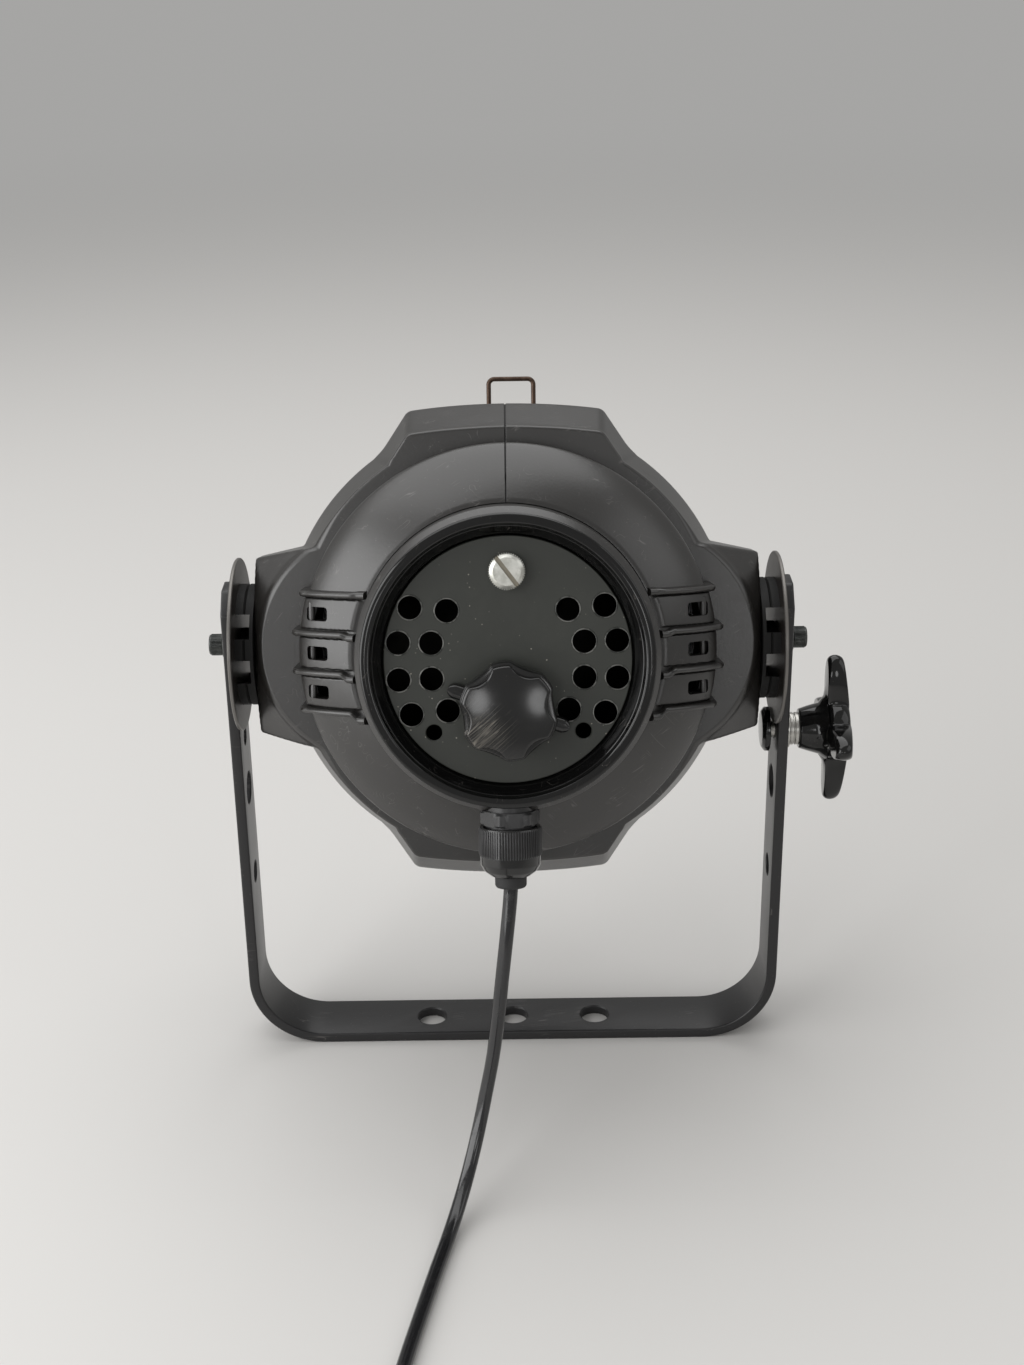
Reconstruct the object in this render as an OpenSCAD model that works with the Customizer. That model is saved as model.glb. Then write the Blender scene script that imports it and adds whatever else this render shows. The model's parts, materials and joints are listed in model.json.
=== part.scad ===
// Stage spotlight on a U-shaped yoke, with a relampable rear tray and a mains lead.
// Frame: origin at the centre of the yoke's middle base hole, on the underside of the strap.
// +X is to the right seen from behind, +Y towards the lens, +Z up.

/* [Yoke] */
// Gap between each ear of the housing and the leg beside it
leg_gap = 10.3; // [9:0.1:24]
// Width of the steel strap
strap_w = 30; // [26:1:34]
// Thickness of the steel strap
strap_t = 5; // [4:0.5:6]
// Outside radius of the two bends
bend_r = 36; // [26:1:44]
// Height of the tilt axis above the table
pivot_h = 211; // [195:1:240]
// Length of strap above the tilt axis
strap_top = 29; // [24:1:36]
// Corner cut at the ends of the strap
strap_cut = 9; // [4:1:12]
// Diameter of the three holes in the base
base_hole_d = 14; // [10:0.5:16]
// Distance between neighbouring base holes
base_pitch = 41; // [32:1:50]
// Diameter of the clamp stud's hole in each leg
clamp_hole_d = 8.8; // [8.6:0.1:9.6]
// Gap between the tilt disc's edge and the clamp stud
clamp_gap = 3; // [2:0.5:8]
// Diameter of the large hole in each leg
large_hole_d = 16; // [12:0.5:18]
// Distance of the large hole below the tilt axis
large_drop = 74.5; // [71:0.5:82]
// Diameter of the lower hole in each leg
lower_hole_d = 11; // [8:0.5:14]
// Distance of the lower hole below the tilt axis
lower_drop = 120.5; // [100:1:135]

/* [Tilt mechanism] */
// Rest angle of the housing, lens end down
tilt = 17.4; // [0:0.1:30]
// Radius of the tilt disc
disc_r = 40; // [36:0.5:42]
// Thickness of the tilt disc
disc_t = 1.8; // [1.2:0.1:2.5]
// Radius of the slotted spacer drum
drum_r = 28; // [24:0.5:30]
// Wall of the spacer drum's rim
drum_wall = 3; // [2:0.5:4]
// Height of the windows in the drum's rim
window_h = 11; // [8:0.5:12]
// Radius of the drum's hub
hub_r = 7.8; // [6:0.2:9]
// Radius of the pivot bolt's shank
bolt_r = 3; // [2.5:0.1:4]
// Radius of the pivot bolt's socket head
bolt_head_r = 5; // [4.6:0.1:6.5]
// Height of the pivot bolt's socket head
bolt_head_h = 6.4; // [5:0.2:8]
// Radius of the plain bush in the leg
bush_r = 5; // [4.6:0.1:6]

/* [Clamp handle] */
// Radius of the clamp stud
stud_r = 4; // [3:0.1:4.2]
// Radius of the pad inside the leg
pad_r = 10.5; // [9:0.5:12]
// Thickness of the pad
pad_t = 4; // [3:0.5:5]
// Radius of the steel washer
clamp_washer_r = 9; // [7:0.5:11]
// Thickness of the steel washer
clamp_washer_t = 1.8; // [1:0.1:2.5]
// Radius of the steel collar under the handle
collar_r = 7.7; // [6:0.2:9]
// Length of the steel collar
collar_l = 4.4; // [3:0.2:6]
// Radius of the hub's small end
hub_small_r = 9.5; // [9.2:0.1:11]
// Radius of the hub's large end
hub_large_r = 15; // [12:0.5:17]
// Length of the hub
hub_l = 13.5; // [11:0.5:20]
// Reach of the four handle arms
arm_reach = 36; // [30:0.5:42]
// Thickness of the handle's arms where they leave the hub
arm_t = 9.5; // [7:0.5:11]
// Thickness of the arms at their tips
arm_tip_t = 7; // [5:0.5:9]

/* [Housing] */
// Largest radius of the flange, at the middle of its depth
ring_r = 103.6; // [102:0.1:106]
// Fall of the flange from there to its rear face
flange_drop = 6.7; // [5:0.1:8]
// Width of the flat rear face outside the dome
dome_ledge = 3.6; // [2:0.1:6]
// Depth of the dome's ellipse
dome_depth = 51.6; // [47:0.2:56]
// Wall of the casting
wall = 3; // [2.5:0.1:4]
// Depth of the flange on each side of the tilt axis
flange_half = 27.5; // [24:0.5:30]
// Reach of the ear's outer face beyond the flange
ear_rise = 11.1; // [10:0.1:13]
// Half height of the ear at its outer face
ear_h = 40.5; // [36:0.5:44]
// Radius of the flat rear face of the ear
ear_face_r = 51; // [46:0.5:53]
// Half width of the top and bottom pads
pad_half = 43.5; // [36:0.5:48]
// Height of the pad's corner over the flange, at the middle of its depth
pad_rise = 2.2; // [1:0.2:4]
// Fall of the pad's corner from there to the rear face
pad_drop = 10.8; // [9:0.2:12]
// Rise of the pad's middle over its corners
pad_crown = 3; // [2:0.2:5]
// Distance between neighbouring cooling ribs
rib_pitch = 17.1; // [15:0.1:19]
// Thickness of a cooling rib
rib_t = 2.4; // [1.8:0.1:3]
// Height of a cooling rib above the dome
rib_h = 3.4; // [2.5:0.1:4.5]
// Length of a vent slot between the ribs
vent_l = 8.6; // [6:0.2:10]
// Height of a vent slot
vent_h = 6; // [4:0.2:8]

/* [Rear cap] */
// Outside radius of the neck ring
neck_r = 65.3; // [64:0.1:66.5]
// Distance of the collar's rim behind the tilt axis
rim_y = 90; // [88:0.5:94]
// Step in from the neck ring to the glossy collar
collar_step = 2.9; // [2:0.1:4]
// Width of the glossy collar
collar_w = 9.5; // [8:0.1:11]
// Depth of the vent plate below the rim
recess = 8.5; // [6:0.5:10]
// Thickness of the vent plate
plate_t = 2; // [1.5:0.1:3]
// Diameter of the vent holes
vent_d = 10.3; // [8:0.1:11]
// Distance of the outer arc of vent holes from the plate's edge
outer_arc_in = 5.7; // [5.6:0.1:7]
// Distance between the two arcs of vent holes
arc_pitch = 13.7; // [12:0.1:15]
// Diameter of the two small holes
small_d = 6.6; // [4:0.1:7]
// Distance of the thumb screw from the plate's edge
screw_in = 14.9; // [13:0.1:18]
// Diameter of the thumb screw's head
screw_d = 15.5; // [12:0.5:18]
// Distance of the focus knob below the middle
knob_down = 20; // [18:0.5:22]
// Radius of the focus knob's lobes
knob_r = 19.8; // [17:0.2:21]
// Depth of the focus knob
knob_l = 15; // [11:0.5:17]
// Length of the locking bar over its wings
bar_l = 54; // [48:0.5:56]
// Height of the locking bar's wings
bar_h = 6.4; // [5:0.2:8]
// Radius of the focus spindle
spindle_r = 4; // [3:0.1:5]

/* [Front] */
// Step in from the flange to the front barrel
barrel_inset = 8.6; // [7:0.1:12]
// Distance of the barrel's front end from the tilt axis
barrel_y = 84; // [76:0.5:96]
// Width of the rim between the barrel's outside and the lens
lens_rim = 12; // [11:0.5:15]
// Reach of the accessory holder beyond the barrel
holder_rim = 3.5; // [2:0.5:5]
// Room in the accessory holder, front to back
slot_l = 12; // [8:0.5:16]
// Width of the wire clip
clip_w = 24.5; // [20:0.5:30]
// Height of the wire clip above its pivot
clip_h = 23.5; // [18:0.5:28]
// Diameter of the clip's wire
clip_d = 2.3; // [1.6:0.1:3]
// Distance of the clip to the right of the middle
clip_x = 3; // [0:0.5:4]

/* [Cable and gland] */
// Distance of the gland's axis in front of the collar's rim
gland_in = 13; // [12:0.5:14]
// Radius of the gland's ribbed nut
nut_r = 13.8; // [13.2:0.1:14]
// Height of the gland's ribbed part
nut_l = 13.5; // [11:0.5:16]
// Width of the flat mains lead
cable_w = 6.6; // [6:0.1:7]
// Thickness of the flat mains lead
cable_t = 5; // [4.4:0.1:5.4]
// Radius of the plug's body
plug_r = 18; // [15:0.5:20]
// Length of the plug's body
plug_l = 30; // [26:1:36]

/* [Hidden] */

$fn = 96;
eps = 0.01;
// Clearances: running fits, press seats, gaps between parts that move past each other
run_gap = 0.06;
seat_gap = 0.03;
slide_gap = 0.3;
cut_over = 1;

// ---------- derived sizes: the housing's main radii ----------
flange_r = ring_r - flange_drop;
dome_r = flange_r - dome_ledge;
ear_x = ring_r + ear_rise;
pad_mid_h = ring_r + pad_rise;
pad_rear_h = pad_mid_h - pad_drop;
barrel_r = ring_r - barrel_inset;
lens_r = barrel_r - lens_rim;
holder_r = barrel_r + holder_rim;
collar_ring_r = neck_r - collar_step;
collar_bore_r = collar_ring_r - collar_w;

// ---------- derived sizes: yoke and tilt mechanism ----------
yoke_w = 2 * (ear_x + leg_gap + strap_t);
clamp_drop = disc_r + stud_r + clamp_gap;
leg_in = yoke_w / 2 - strap_t;
bend_in = bend_r - strap_t;
base_half = yoke_w / 2 - bend_r;
leg_top = pivot_h + strap_top;
disc_gap = 0.4;
disc_out = leg_in - disc_gap;
disc_in = disc_out - disc_t;
bolt_washer_t = 1.6;
bolt_washer_r = 6.4;
washer_gap = 0.1;
bolt_head_x = yoke_w / 2 + washer_gap + bolt_washer_t;
bolt_depth = 15;
socket_d = 5;
socket_depth = 3;
window_mid = 10.2;

// ---------- derived sizes: clamp ----------
clamp_z = pivot_h - clamp_drop;
pad_x = disc_in - slide_gap - pad_t;
clamp_washer_x = yoke_w / 2 + washer_gap;
stud_collar_x = clamp_washer_x + clamp_washer_t + washer_gap;
hub_x = stud_collar_x + collar_l;
arm_turn = -6;

// ---------- derived sizes: housing ----------
dome_in_r = dome_r - wall;
dome_in_depth = dome_depth - wall;
opening_r = neck_r + 0.6;
function dome_y(r) = -flange_half - dome_depth * sqrt(1 - pow(r / dome_r, 2));
function dome_inside_y(r) = -flange_half - dome_in_depth * sqrt(1 - pow(r / dome_in_r, 2));
dome_steps = 12;
barrel_seat_r = barrel_r - 3;
seat_y = flange_half - 14;
ear_mid_x = ear_x - ear_face_r - 4;
ear_root_x = 60;
rib_mid = 1;
vent_in = 10.1;
vent_x = dome_r - vent_in;
vent_corner = 1.2;
boss_wall = 6;
boss_z = barrel_seat_r + boss_wall;
boss_y = 12;
boss_screw_r = 2.2;
boss_head_r = 3.6;
boss_head_x = 34;
boss_screw_l = 52;

// ---------- derived sizes: rear cap ----------
neck_front_y = dome_y(opening_r) + wall + 0.4;
neck_wall = 5.2;
neck_bore_r = neck_r - neck_wall;
neck_end_y = -rim_y + 4.2;
plate_y = -rim_y + recess;
plate_r = collar_bore_r - slide_gap;
outer_arc_r = plate_r - outer_arc_in;
inner_arc_r = outer_arc_r - arc_pitch;
screw_up = plate_r - screw_in;
outer_step = 19.3;
inner_step = 26.5;
small_arc_in = 8.6;
small_arc_r = plate_r - small_arc_in;
ledge_in = 46;
ledge_half = 24;
ledge_t = 2;
screw_head_l = 6;
screw_r = 2.5;
screw_boss_l = 10;
boss_r = 6;
knob_gap = 0.4;
bar_t = 5.5;
bar_hub_r = 9;
knob_bore_l = 10;
bar_y = plate_y - knob_gap;
knob_y = bar_y - bar_t - knob_gap;
bar_angle = -18.6;
carriage_y = plate_y + 20;
carriage_t = 4;
carriage_r = 26;
rod_x = 20;
rod_r = 2.2;
rod_l = 34;
focus_travel = 6;
socket_r = 13;
socket_l = 22;
lamp_r = 9;
lamp_l = 46;
lamp_base_r = 6;
lamp_pinch = 6;

// ---------- derived sizes: front ----------
barrel_wall = 3;
lens_y = barrel_y - 16;
lens_edge_t = 5;
lens_bulge = 7;
gasket_t = 1.6;
lens_ring_t = 3;
holder_t = 2;
lip_w = 9;
lug_w = 3;
lug_t = clip_d + 3;
channel_top = 0;
clip_z = holder_r + 1.6;
clip_y = barrel_y + holder_t / 2 - 2.4;
clip_corner = 4;
reflector_seat_w = 8;
reflector_r = barrel_seat_r - reflector_seat_w;
reflector_t = 1.4;
reflector_y = flange_half - 20;
reflector_depth = 52;
reflector_hole = 30;

// ---------- derived sizes: gland, lead, coil and plug ----------
gland_y = rim_y - gland_in;
gland_top = neck_r - 0.6;
thread_r = 8;
hex_r = 13.2;
hex_l = 6.2;
hex_turn = 9.7;
nut_gap = 0.8;
nut_ribs = 72;
spigot_r = 10.5;
spigot_l = 9;
nut_z = gland_top + hex_l + nut_gap;
cone_l = 8.2;
cone_r = 8.4;
seal_r = 6.9;
seal_l = 5.2;
gland_end = nut_z + nut_l + cone_l + seal_l;
exit_y = -gland_y * cos(tilt) - gland_end * sin(tilt);
exit_z = pivot_h + gland_y * sin(tilt) - gland_end * cos(tilt);

// Route of the lead from the gland to the coil, chosen by hand; its first point is the gland's mouth
table_z = cable_t / 2;
tie_t = 0.8;
tie_w = 5;
coil_z = table_z + tie_t;
route = [
    [0, exit_y, exit_z],
    [-0.7, exit_y - 2.4, exit_z - 8],
    [-2.4, -109.5, 117], [-4.4, -113, 100], [-6.4, -116, 82], [-8.9, -119, 64],
    [-12.4, -123, 46.5], [-16.2, -129, 30], [-20.6, -138.5, 16], [-25, -151, 7],
    [-29.4, -167, table_z + 0.4], [-33.3, -184, table_z], [-37.1, -202, table_z],
    [-41, -221, table_z], [-44.7, -240, table_z], [-47.5, -260, table_z + 0.1],
    [-49, -281, coil_z - 0.3], [-49.5, -302, coil_z]
];

// Coil: a flat spiral in on the table, a climb, and a flat spiral out on top
coil_turns = 4.25;
coil_rings = 24;
coil_step = cable_w + 0.6;
coil_lift = cable_t + 0.6;
coil_mean_r = 37;
coil_out_r = coil_mean_r + coil_step * coil_turns / 4;
coil_mid = [route[17].x - coil_out_r, route[17].y - cable_w];
tail_l = 36;
relief_l = 10;
pin_r = 2.4;
pin_l = 19;
pin_pitch = 19;

module on_housing() translate([0, 0, pivot_h]) rotate([-tilt, 0, 0]) children();
module about_y() rotate([-90, 0, 0]) children();
module along_x() rotate([0, 90, 0]) children();
module turned(points) about_y() rotate_extrude() polygon(points);
// Prism of a shape drawn in X and Z, from y0 to y1
module prism_y(y0, y1) translate([0, y1, 0]) rotate([90, 0, 0]) linear_extrude(y1 - y0) children();

// ================= yoke =================
module leg_profile() {
    w = strap_w / 2;
    polygon([[-w, bend_r], [w, bend_r], [w, leg_top - strap_cut], [w - strap_cut, leg_top],
        [-w + strap_cut, leg_top], [-w, leg_top - strap_cut]]);
}

// Quarter bend at the right-hand corner
module yoke_bend() {
    translate([base_half, 0, bend_r])
        rotate([90, 0, 0])
            rotate([0, 0, -90])
                rotate_extrude(angle = 90)
                    translate([bend_in, -strap_w / 2])
                        square([strap_t, strap_w]);
}

module leg_hole(d, z) {
    translate([leg_in - cut_over, 0, z])
        along_x() cylinder(d = d, h = strap_t + 2 * cut_over);
}

module yoke() {
    color("#26262a")
    difference() {
        union() {
            translate([-base_half, -strap_w / 2, 0])
                cube([2 * base_half, strap_w, strap_t]);
            for (side = [0, 1]) mirror([side, 0, 0]) {
                yoke_bend();
                translate([leg_in, 0, 0])
                    rotate([90, 0, 90]) linear_extrude(strap_t) leg_profile();
            }
        }
        for (i = [-1, 0, 1])
            translate([i * base_pitch, 0, -cut_over])
                cylinder(d = base_hole_d, h = strap_t + 2 * cut_over);
        for (side = [0, 1]) mirror([side, 0, 0]) {
            leg_hole(2 * bush_r, pivot_h);
            leg_hole(clamp_hole_d, pivot_h - clamp_drop);
            leg_hole(large_hole_d, pivot_h - large_drop);
            leg_hole(lower_hole_d, pivot_h - lower_drop);
        }
    }
}

// Plain bush that carries the pivot bolt in the leg
module pivot_bush() {
    color("#cfc9b4")
    translate([leg_in, 0, pivot_h])
        along_x()
            difference() {
                cylinder(r = bush_r - seat_gap, h = strap_t);
                translate([0, 0, -cut_over])
                    cylinder(r = bolt_r + run_gap, h = strap_t + 2 * cut_over);
            }
}

// ================= tilt mechanism =================
// Socket-head bolt with its washer, screwed into the ear from outside the leg
module pivot_bolt() {
    color("#3c3f42")
    on_housing()
        along_x()
            difference() {
                union() {
                    translate([0, 0, ear_x - bolt_depth])
                        cylinder(r = bolt_r, h = bolt_head_x + eps - ear_x + bolt_depth);
                    translate([0, 0, bolt_head_x - bolt_washer_t])
                        cylinder(r = bolt_washer_r, h = bolt_washer_t + eps);
                    translate([0, 0, bolt_head_x])
                        rotate_extrude()
                            polygon([[0, 0], [bolt_head_r, 0], [bolt_head_r, bolt_head_h - 0.8],
                                [bolt_head_r - 0.8, bolt_head_h], [0, bolt_head_h]]);
                }
                translate([0, 0, bolt_head_x + bolt_head_h - socket_depth])
                    cylinder(d = socket_d * 2 / sqrt(3), h = socket_depth + cut_over, $fn = 6);
            }
}

// Thin brake disc that turns with the housing and is pinched by the clamp
module tilt_disc() {
    bevel = disc_t / 4;
    color("#33302f")
    on_housing()
        translate([disc_in, 0, 0])
            along_x()
                rotate_extrude()
                    polygon([[bolt_r + seat_gap, 0], [disc_r - bevel, 0], [disc_r, bevel],
                        [disc_r, disc_t - bevel], [disc_r - bevel, disc_t],
                        [bolt_r + seat_gap, disc_t]]);
}

// Drum between the ear and the disc: a web, a windowed rim and a hub
module spacer_drum() {
    drum_l = disc_in - ear_x;
    web_t = drum_wall / 2;
    groove = 0.6;
    color("#1b1b1d")
    on_housing()
        translate([ear_x, 0, 0])
            difference() {
                along_x() {
                    rotate_extrude()
                        polygon([[bolt_r + seat_gap, 0], [drum_r, 0],
                            [drum_r, drum_l / 2 - groove], [drum_r - groove, drum_l / 2],
                            [drum_r, drum_l / 2 + groove], [drum_r, drum_l],
                            [drum_r - drum_wall, drum_l], [drum_r - drum_wall, web_t],
                            [hub_r, web_t], [hub_r, drum_l], [bolt_r + seat_gap, drum_l]]);
                }
                for (y_side = [-1, 1], z_side = [-1, 1])
                    translate([web_t, y_side * (hub_r + 1 + drum_r / 2) - drum_r / 2,
                            z_side * window_mid - window_h / 2])
                        cube([drum_l, drum_r, window_h]);
            }
}

// ================= clamp =================
module clamp_pad() {
    round_off = 1.5;
    color("#161617")
    translate([pad_x, 0, clamp_z])
        along_x()
            rotate_extrude()
                polygon([[0, 0], [pad_r - round_off, 0], [pad_r - round_off / 3, round_off / 3],
                    [pad_r, round_off], [pad_r, pad_t], [stud_r + run_gap, pad_t],
                    [stud_r + run_gap, 1], [0, 1]]);
}

module clamp_washer() {
    color("#a9a9a6")
    translate([clamp_washer_x, 0, clamp_z])
        along_x()
            difference() {
                cylinder(r = clamp_washer_r, h = clamp_washer_t);
                translate([0, 0, -cut_over])
                    cylinder(r = stud_r + run_gap, h = clamp_washer_t + 2 * cut_over);
            }
}

// Steel stud with the collar that presses on the washer
module clamp_stud() {
    color("#b4b3ae")
    translate([0, 0, clamp_z])
        along_x() {
            translate([0, 0, pad_x + 1 + slide_gap])
                cylinder(r = stud_r, h = hub_x + hub_l / 2 - pad_x - 1 - slide_gap);
            translate([0, 0, stud_collar_x])
                cylinder(r = collar_r, h = collar_l);
        }
}

// Outline with n rounded lobes between radius r0 and r1; power sets how narrow a lobe is
module lobes(n, r0, r1, power, turn = 0) {
    steps = 72;
    polygon([for (i = [0 : steps - 1])
        let (a = 360 * i / steps, r = r0 + (r1 - r0) * pow((1 + cos(n * (a - turn))) / 2, power))
            [r * cos(a), r * sin(a)]]);
}

// Moulded handle: a tapered hub that flares into four arms with rounded tips
module clamp_handle() {
    arm_root = 15;
    crown = 1.5;
    color("#101011")
    translate([hub_x, 0, clamp_z])
        along_x()
            difference() {
                union() {
                    rotate_extrude()
                        polygon([[0, 0], [hub_small_r - 1, 0], [hub_small_r, 1],
                            [hub_large_r - 2, hub_l * 0.7], [hub_large_r, hub_l],
                            [hub_large_r, hub_l + arm_t / 2], [0, hub_l + arm_t / 2]]);
                    intersection() {
                        translate([0, 0, hub_l])
                            linear_extrude(arm_t + crown)
                                lobes(4, arm_root, arm_reach + 0.5, 1.5, arm_turn);
                        rotate_extrude()
                            polygon([[0, hub_l - 1], [arm_reach - 3, hub_l - 1],
                                [arm_reach - 1, hub_l + 0.8], [arm_reach + 0.1, hub_l + 2.5],
                                [arm_reach - 0.5, hub_l + arm_tip_t - 1.8],
                                [arm_reach - 3, hub_l + arm_tip_t], [arm_root, hub_l + arm_t],
                                [0, hub_l + arm_t + crown]]);
                    }
                }
                translate([0, 0, -cut_over])
                    cylinder(r = stud_r + seat_gap, h = hub_l / 2 + cut_over + seat_gap);
            }
}

// ================= housing =================
// Point of the dome's outline at angle a (90 = flange), lifted off it by h
function dome_point(a, h) = let (n = [sin(a) / dome_r, -cos(a) / dome_depth])
    [dome_r * sin(a), -flange_half - dome_depth * cos(a)] + h * n / norm(n);
function dome_angle(r) = asin(r / dome_r);

module housing_outside() {
    a0 = dome_angle(opening_r);
    turned(concat(
        [[0, dome_y(opening_r)]],
        [for (i = [0 : dome_steps]) dome_point(a0 + (90 - a0) * i / dome_steps, 0)],
        [[flange_r, -flange_half], [ring_r, -1], [ring_r, 3], [flange_r + 1, flange_half],
            [0, flange_half]]));
}

module housing_inside() {
    a0 = asin(opening_r / dome_in_r);
    turned(concat(
        [[0, dome_y(opening_r) - cut_over], [opening_r, dome_y(opening_r) - cut_over]],
        [for (i = [0 : dome_steps]) let (a = a0 + (90 - a0) * i / dome_steps)
            [dome_in_r * sin(a), -flange_half - dome_in_depth * cos(a)]],
        [[ring_r - 2 * wall, -flange_half * 0.4], [ring_r - 2 * wall, seat_y - 5],
            [barrel_seat_r + seat_gap, seat_y], [barrel_seat_r + seat_gap, flange_half + cut_over],
            [0, flange_half + cut_over]]));
}

// Outline of a pad in X and Z: flat sides, a slightly crowned top
module pad_slice(half, h) {
    foot = 0.65 * (h - pad_rear_h) + 7.5;
    polygon(concat(
        [[-half - foot, ring_r * 0.6], [-half - foot, h - 1.5 * foot]],
        [for (i = [-3 : 3]) [half * i / 3, h + pad_crown * (1 - pow(i / 3, 2))]],
        [[half + foot, h - 1.5 * foot], [half + foot, ring_r * 0.6]]));
}

module pad() {
    hull() {
        prism_y(-flange_half, -flange_half + eps) pad_slice(pad_half, pad_rear_h);
        prism_y(-1, 3) pad_slice(pad_half + 1, pad_mid_h);
        prism_y(flange_half - eps, flange_half) pad_slice(pad_half, pad_rear_h);
    }
}

// Ear that carries the pivot: a block whose corners are turned down to a round rear face
module ear() {
    root_h = ear_h + 6.5;
    corner_r = ear_face_r + 22;
    intersection() {
        prism_y(-flange_half, flange_half)
            polygon([[ear_root_x, root_h], [ear_x - 26, root_h - 1.5], [ear_x - 1.5, ear_h],
                [ear_x, ear_h - 1.5], [ear_x, 1.5 - ear_h], [ear_x - 1.5, -ear_h],
                [ear_x - 26, 1.5 - root_h], [ear_root_x, -root_h]]);
        translate([ear_mid_x, 0, rib_mid])
            turned([[0, -flange_half], [ear_face_r - 1, -flange_half],
                [ear_face_r + 1, -flange_half + 1], [ear_face_r + 2.5, -flange_half + 3],
                [corner_r, -2], [corner_r, 4], [ear_face_r, flange_half], [0, flange_half]]);
    }
}

// Skin of the dome from angle a0 to the flange, h thick outside and 1 thick inside;
// near the neck it is lower, at h0
module dome_skin(a0, h0, h) {
    steps = 10;
    turned(concat(
        [dome_point(a0, h0), dome_point(a0 + 4, h0)],
        [for (i = [0 : steps]) dome_point(a0 + 6 + (84 - a0) * i / steps, h)],
        [for (i = [steps : -1 : 0]) dome_point(a0 + (90 - a0) * i / steps, -1)]));
}

// Four ribs and three raised bays on the right side of the dome
module ribs() {
    intersection() {
        dome_skin(dome_angle(opening_r + 0.4), rib_h / 2, rib_h);
        for (i = [-1.5 : 1.5])
            translate([opening_r / 2, -rim_y, rib_mid + i * rib_pitch - rib_t / 2])
                cube([dome_r, rim_y - flange_half, rib_t]);
    }
    intersection() {
        dome_skin(dome_angle(opening_r + 2.4), 0.4, 0.9);
        translate([opening_r / 2, -rim_y, rib_mid - 1.5 * rib_pitch])
            cube([dome_r, rim_y - flange_half - 0.4, 3 * rib_pitch]);
    }
}

function rounded_box(w, h, r) = [for (q = [0 : 3], s = [0 : 3])
    let (a = q * 90 + s * 30, cx = (q == 0 || q == 3 ? 1 : -1), cz = (q < 2 ? 1 : -1))
        [cx * (w / 2 - r) + r * cos(a), cz * (h / 2 - r) + r * sin(a)]];

module vents() {
    for (i = [-1, 0, 1])
        translate([vent_x, 0, rib_mid + i * rib_pitch])
            prism_y(-rim_y, -flange_half - dome_depth * 0.2)
                polygon(rounded_box(vent_l, vent_h, vent_corner));
}

// The whole casting, before it is parted down the middle
module casting() {
    difference() {
        union() {
            housing_outside();
            for (side = [0, 1]) {
                mirror([0, 0, side]) pad();
                mirror([side, 0, 0]) {
                    ear();
                    ribs();
                }
            }
        }
        housing_inside();
        for (side = [0, 1]) {
            mirror([side, 0, 0]) {
                vents();
                translate([ear_x - bolt_depth - slide_gap, 0, 0])
                    along_x() cylinder(r = bolt_r + seat_gap, h = bolt_depth + ear_x);
            }
            mirror([0, 0, side]) translate([0, boss_y, boss_z]) {
                along_x() translate([0, 0, boss_head_x - boss_screw_l - slide_gap])
                    cylinder(r = boss_screw_r + seat_gap, h = boss_screw_l + slide_gap + cut_over);
                along_x() translate([0, 0, boss_head_x])
                    cylinder(r = boss_head_r + slide_gap, h = pad_half);
            }
        }
    }
}

// One half of the casting; keep = 1 is the right half, -1 the left
module housing_half(keep) {
    color("#4a4644")
    on_housing()
        intersection() {
            casting();
            translate([keep > 0 ? seat_gap / 2 : -ear_x - cut_over - seat_gap / 2, -rim_y, -rim_y * 2])
                cube([ear_x + cut_over, rim_y * 2, rim_y * 4]);
        }
}

module housing_screws() {
    color("#55565a")
    on_housing()
        for (side = [0, 1]) mirror([0, 0, side])
            translate([0, boss_y, boss_z])
                along_x() {
                    translate([0, 0, boss_head_x - boss_screw_l])
                        cylinder(r = boss_screw_r, h = boss_screw_l + eps);
                    difference() {
                        translate([0, 0, boss_head_x])
                            cylinder(r = boss_head_r, h = 3);
                        translate([0, 0, boss_head_x + 1.2])
                            cylinder(d = 4, h = 3, $fn = 6);
                    }
                }
}

// ================= rear cap =================
module neck_ring() {
    flange_out = neck_r + 4.5;
    color("#6b6866")
    on_housing()
        difference() {
            union() {
                turned([[neck_bore_r, neck_front_y + 4], [flange_out, neck_front_y + 4],
                    [flange_out, dome_inside_y(flange_out) + 0.25],
                    [neck_r, dome_inside_y(neck_r) + 0.25], [neck_r, neck_end_y + 20],
                    [neck_r - 0.8, neck_end_y + 0.8], [neck_r - 1.6, neck_end_y],
                    [neck_bore_r, neck_end_y]]);
                // Seats for the vent plate, above and below, and the thumb screw's boss
                intersection() {
                    turned([[ledge_in, plate_y + plate_t], [neck_bore_r + 1, plate_y + plate_t],
                        [neck_bore_r + 1, plate_y + plate_t + ledge_t],
                        [ledge_in, plate_y + plate_t + ledge_t]]);
                    translate([-ledge_half, -rim_y, -2 * neck_r])
                        cube([2 * ledge_half, rim_y, 4 * neck_r]);
                }
                intersection() {
                    translate([-boss_r, plate_y + plate_t, screw_up - boss_r])
                        cube([2 * boss_r, screw_boss_l, neck_r]);
                    turned([[0, -rim_y], [neck_bore_r + 1, -rim_y], [neck_bore_r + 1, 0], [0, 0]]);
                }
            }
            translate([0, plate_y, screw_up])
                about_y() cylinder(r = screw_r + run_gap, h = plate_t + screw_boss_l + cut_over);
            // Tapped hole and spot face for the gland
            translate([0, -gland_y, -neck_r - cut_over])
                cylinder(r = thread_r + seat_gap, h = neck_r - neck_bore_r + 2 * cut_over);
            translate([0, -gland_y, -neck_r - cut_over])
                cylinder(r = hex_r + slide_gap, h = neck_r - gland_top + cut_over);
        }
}

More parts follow.
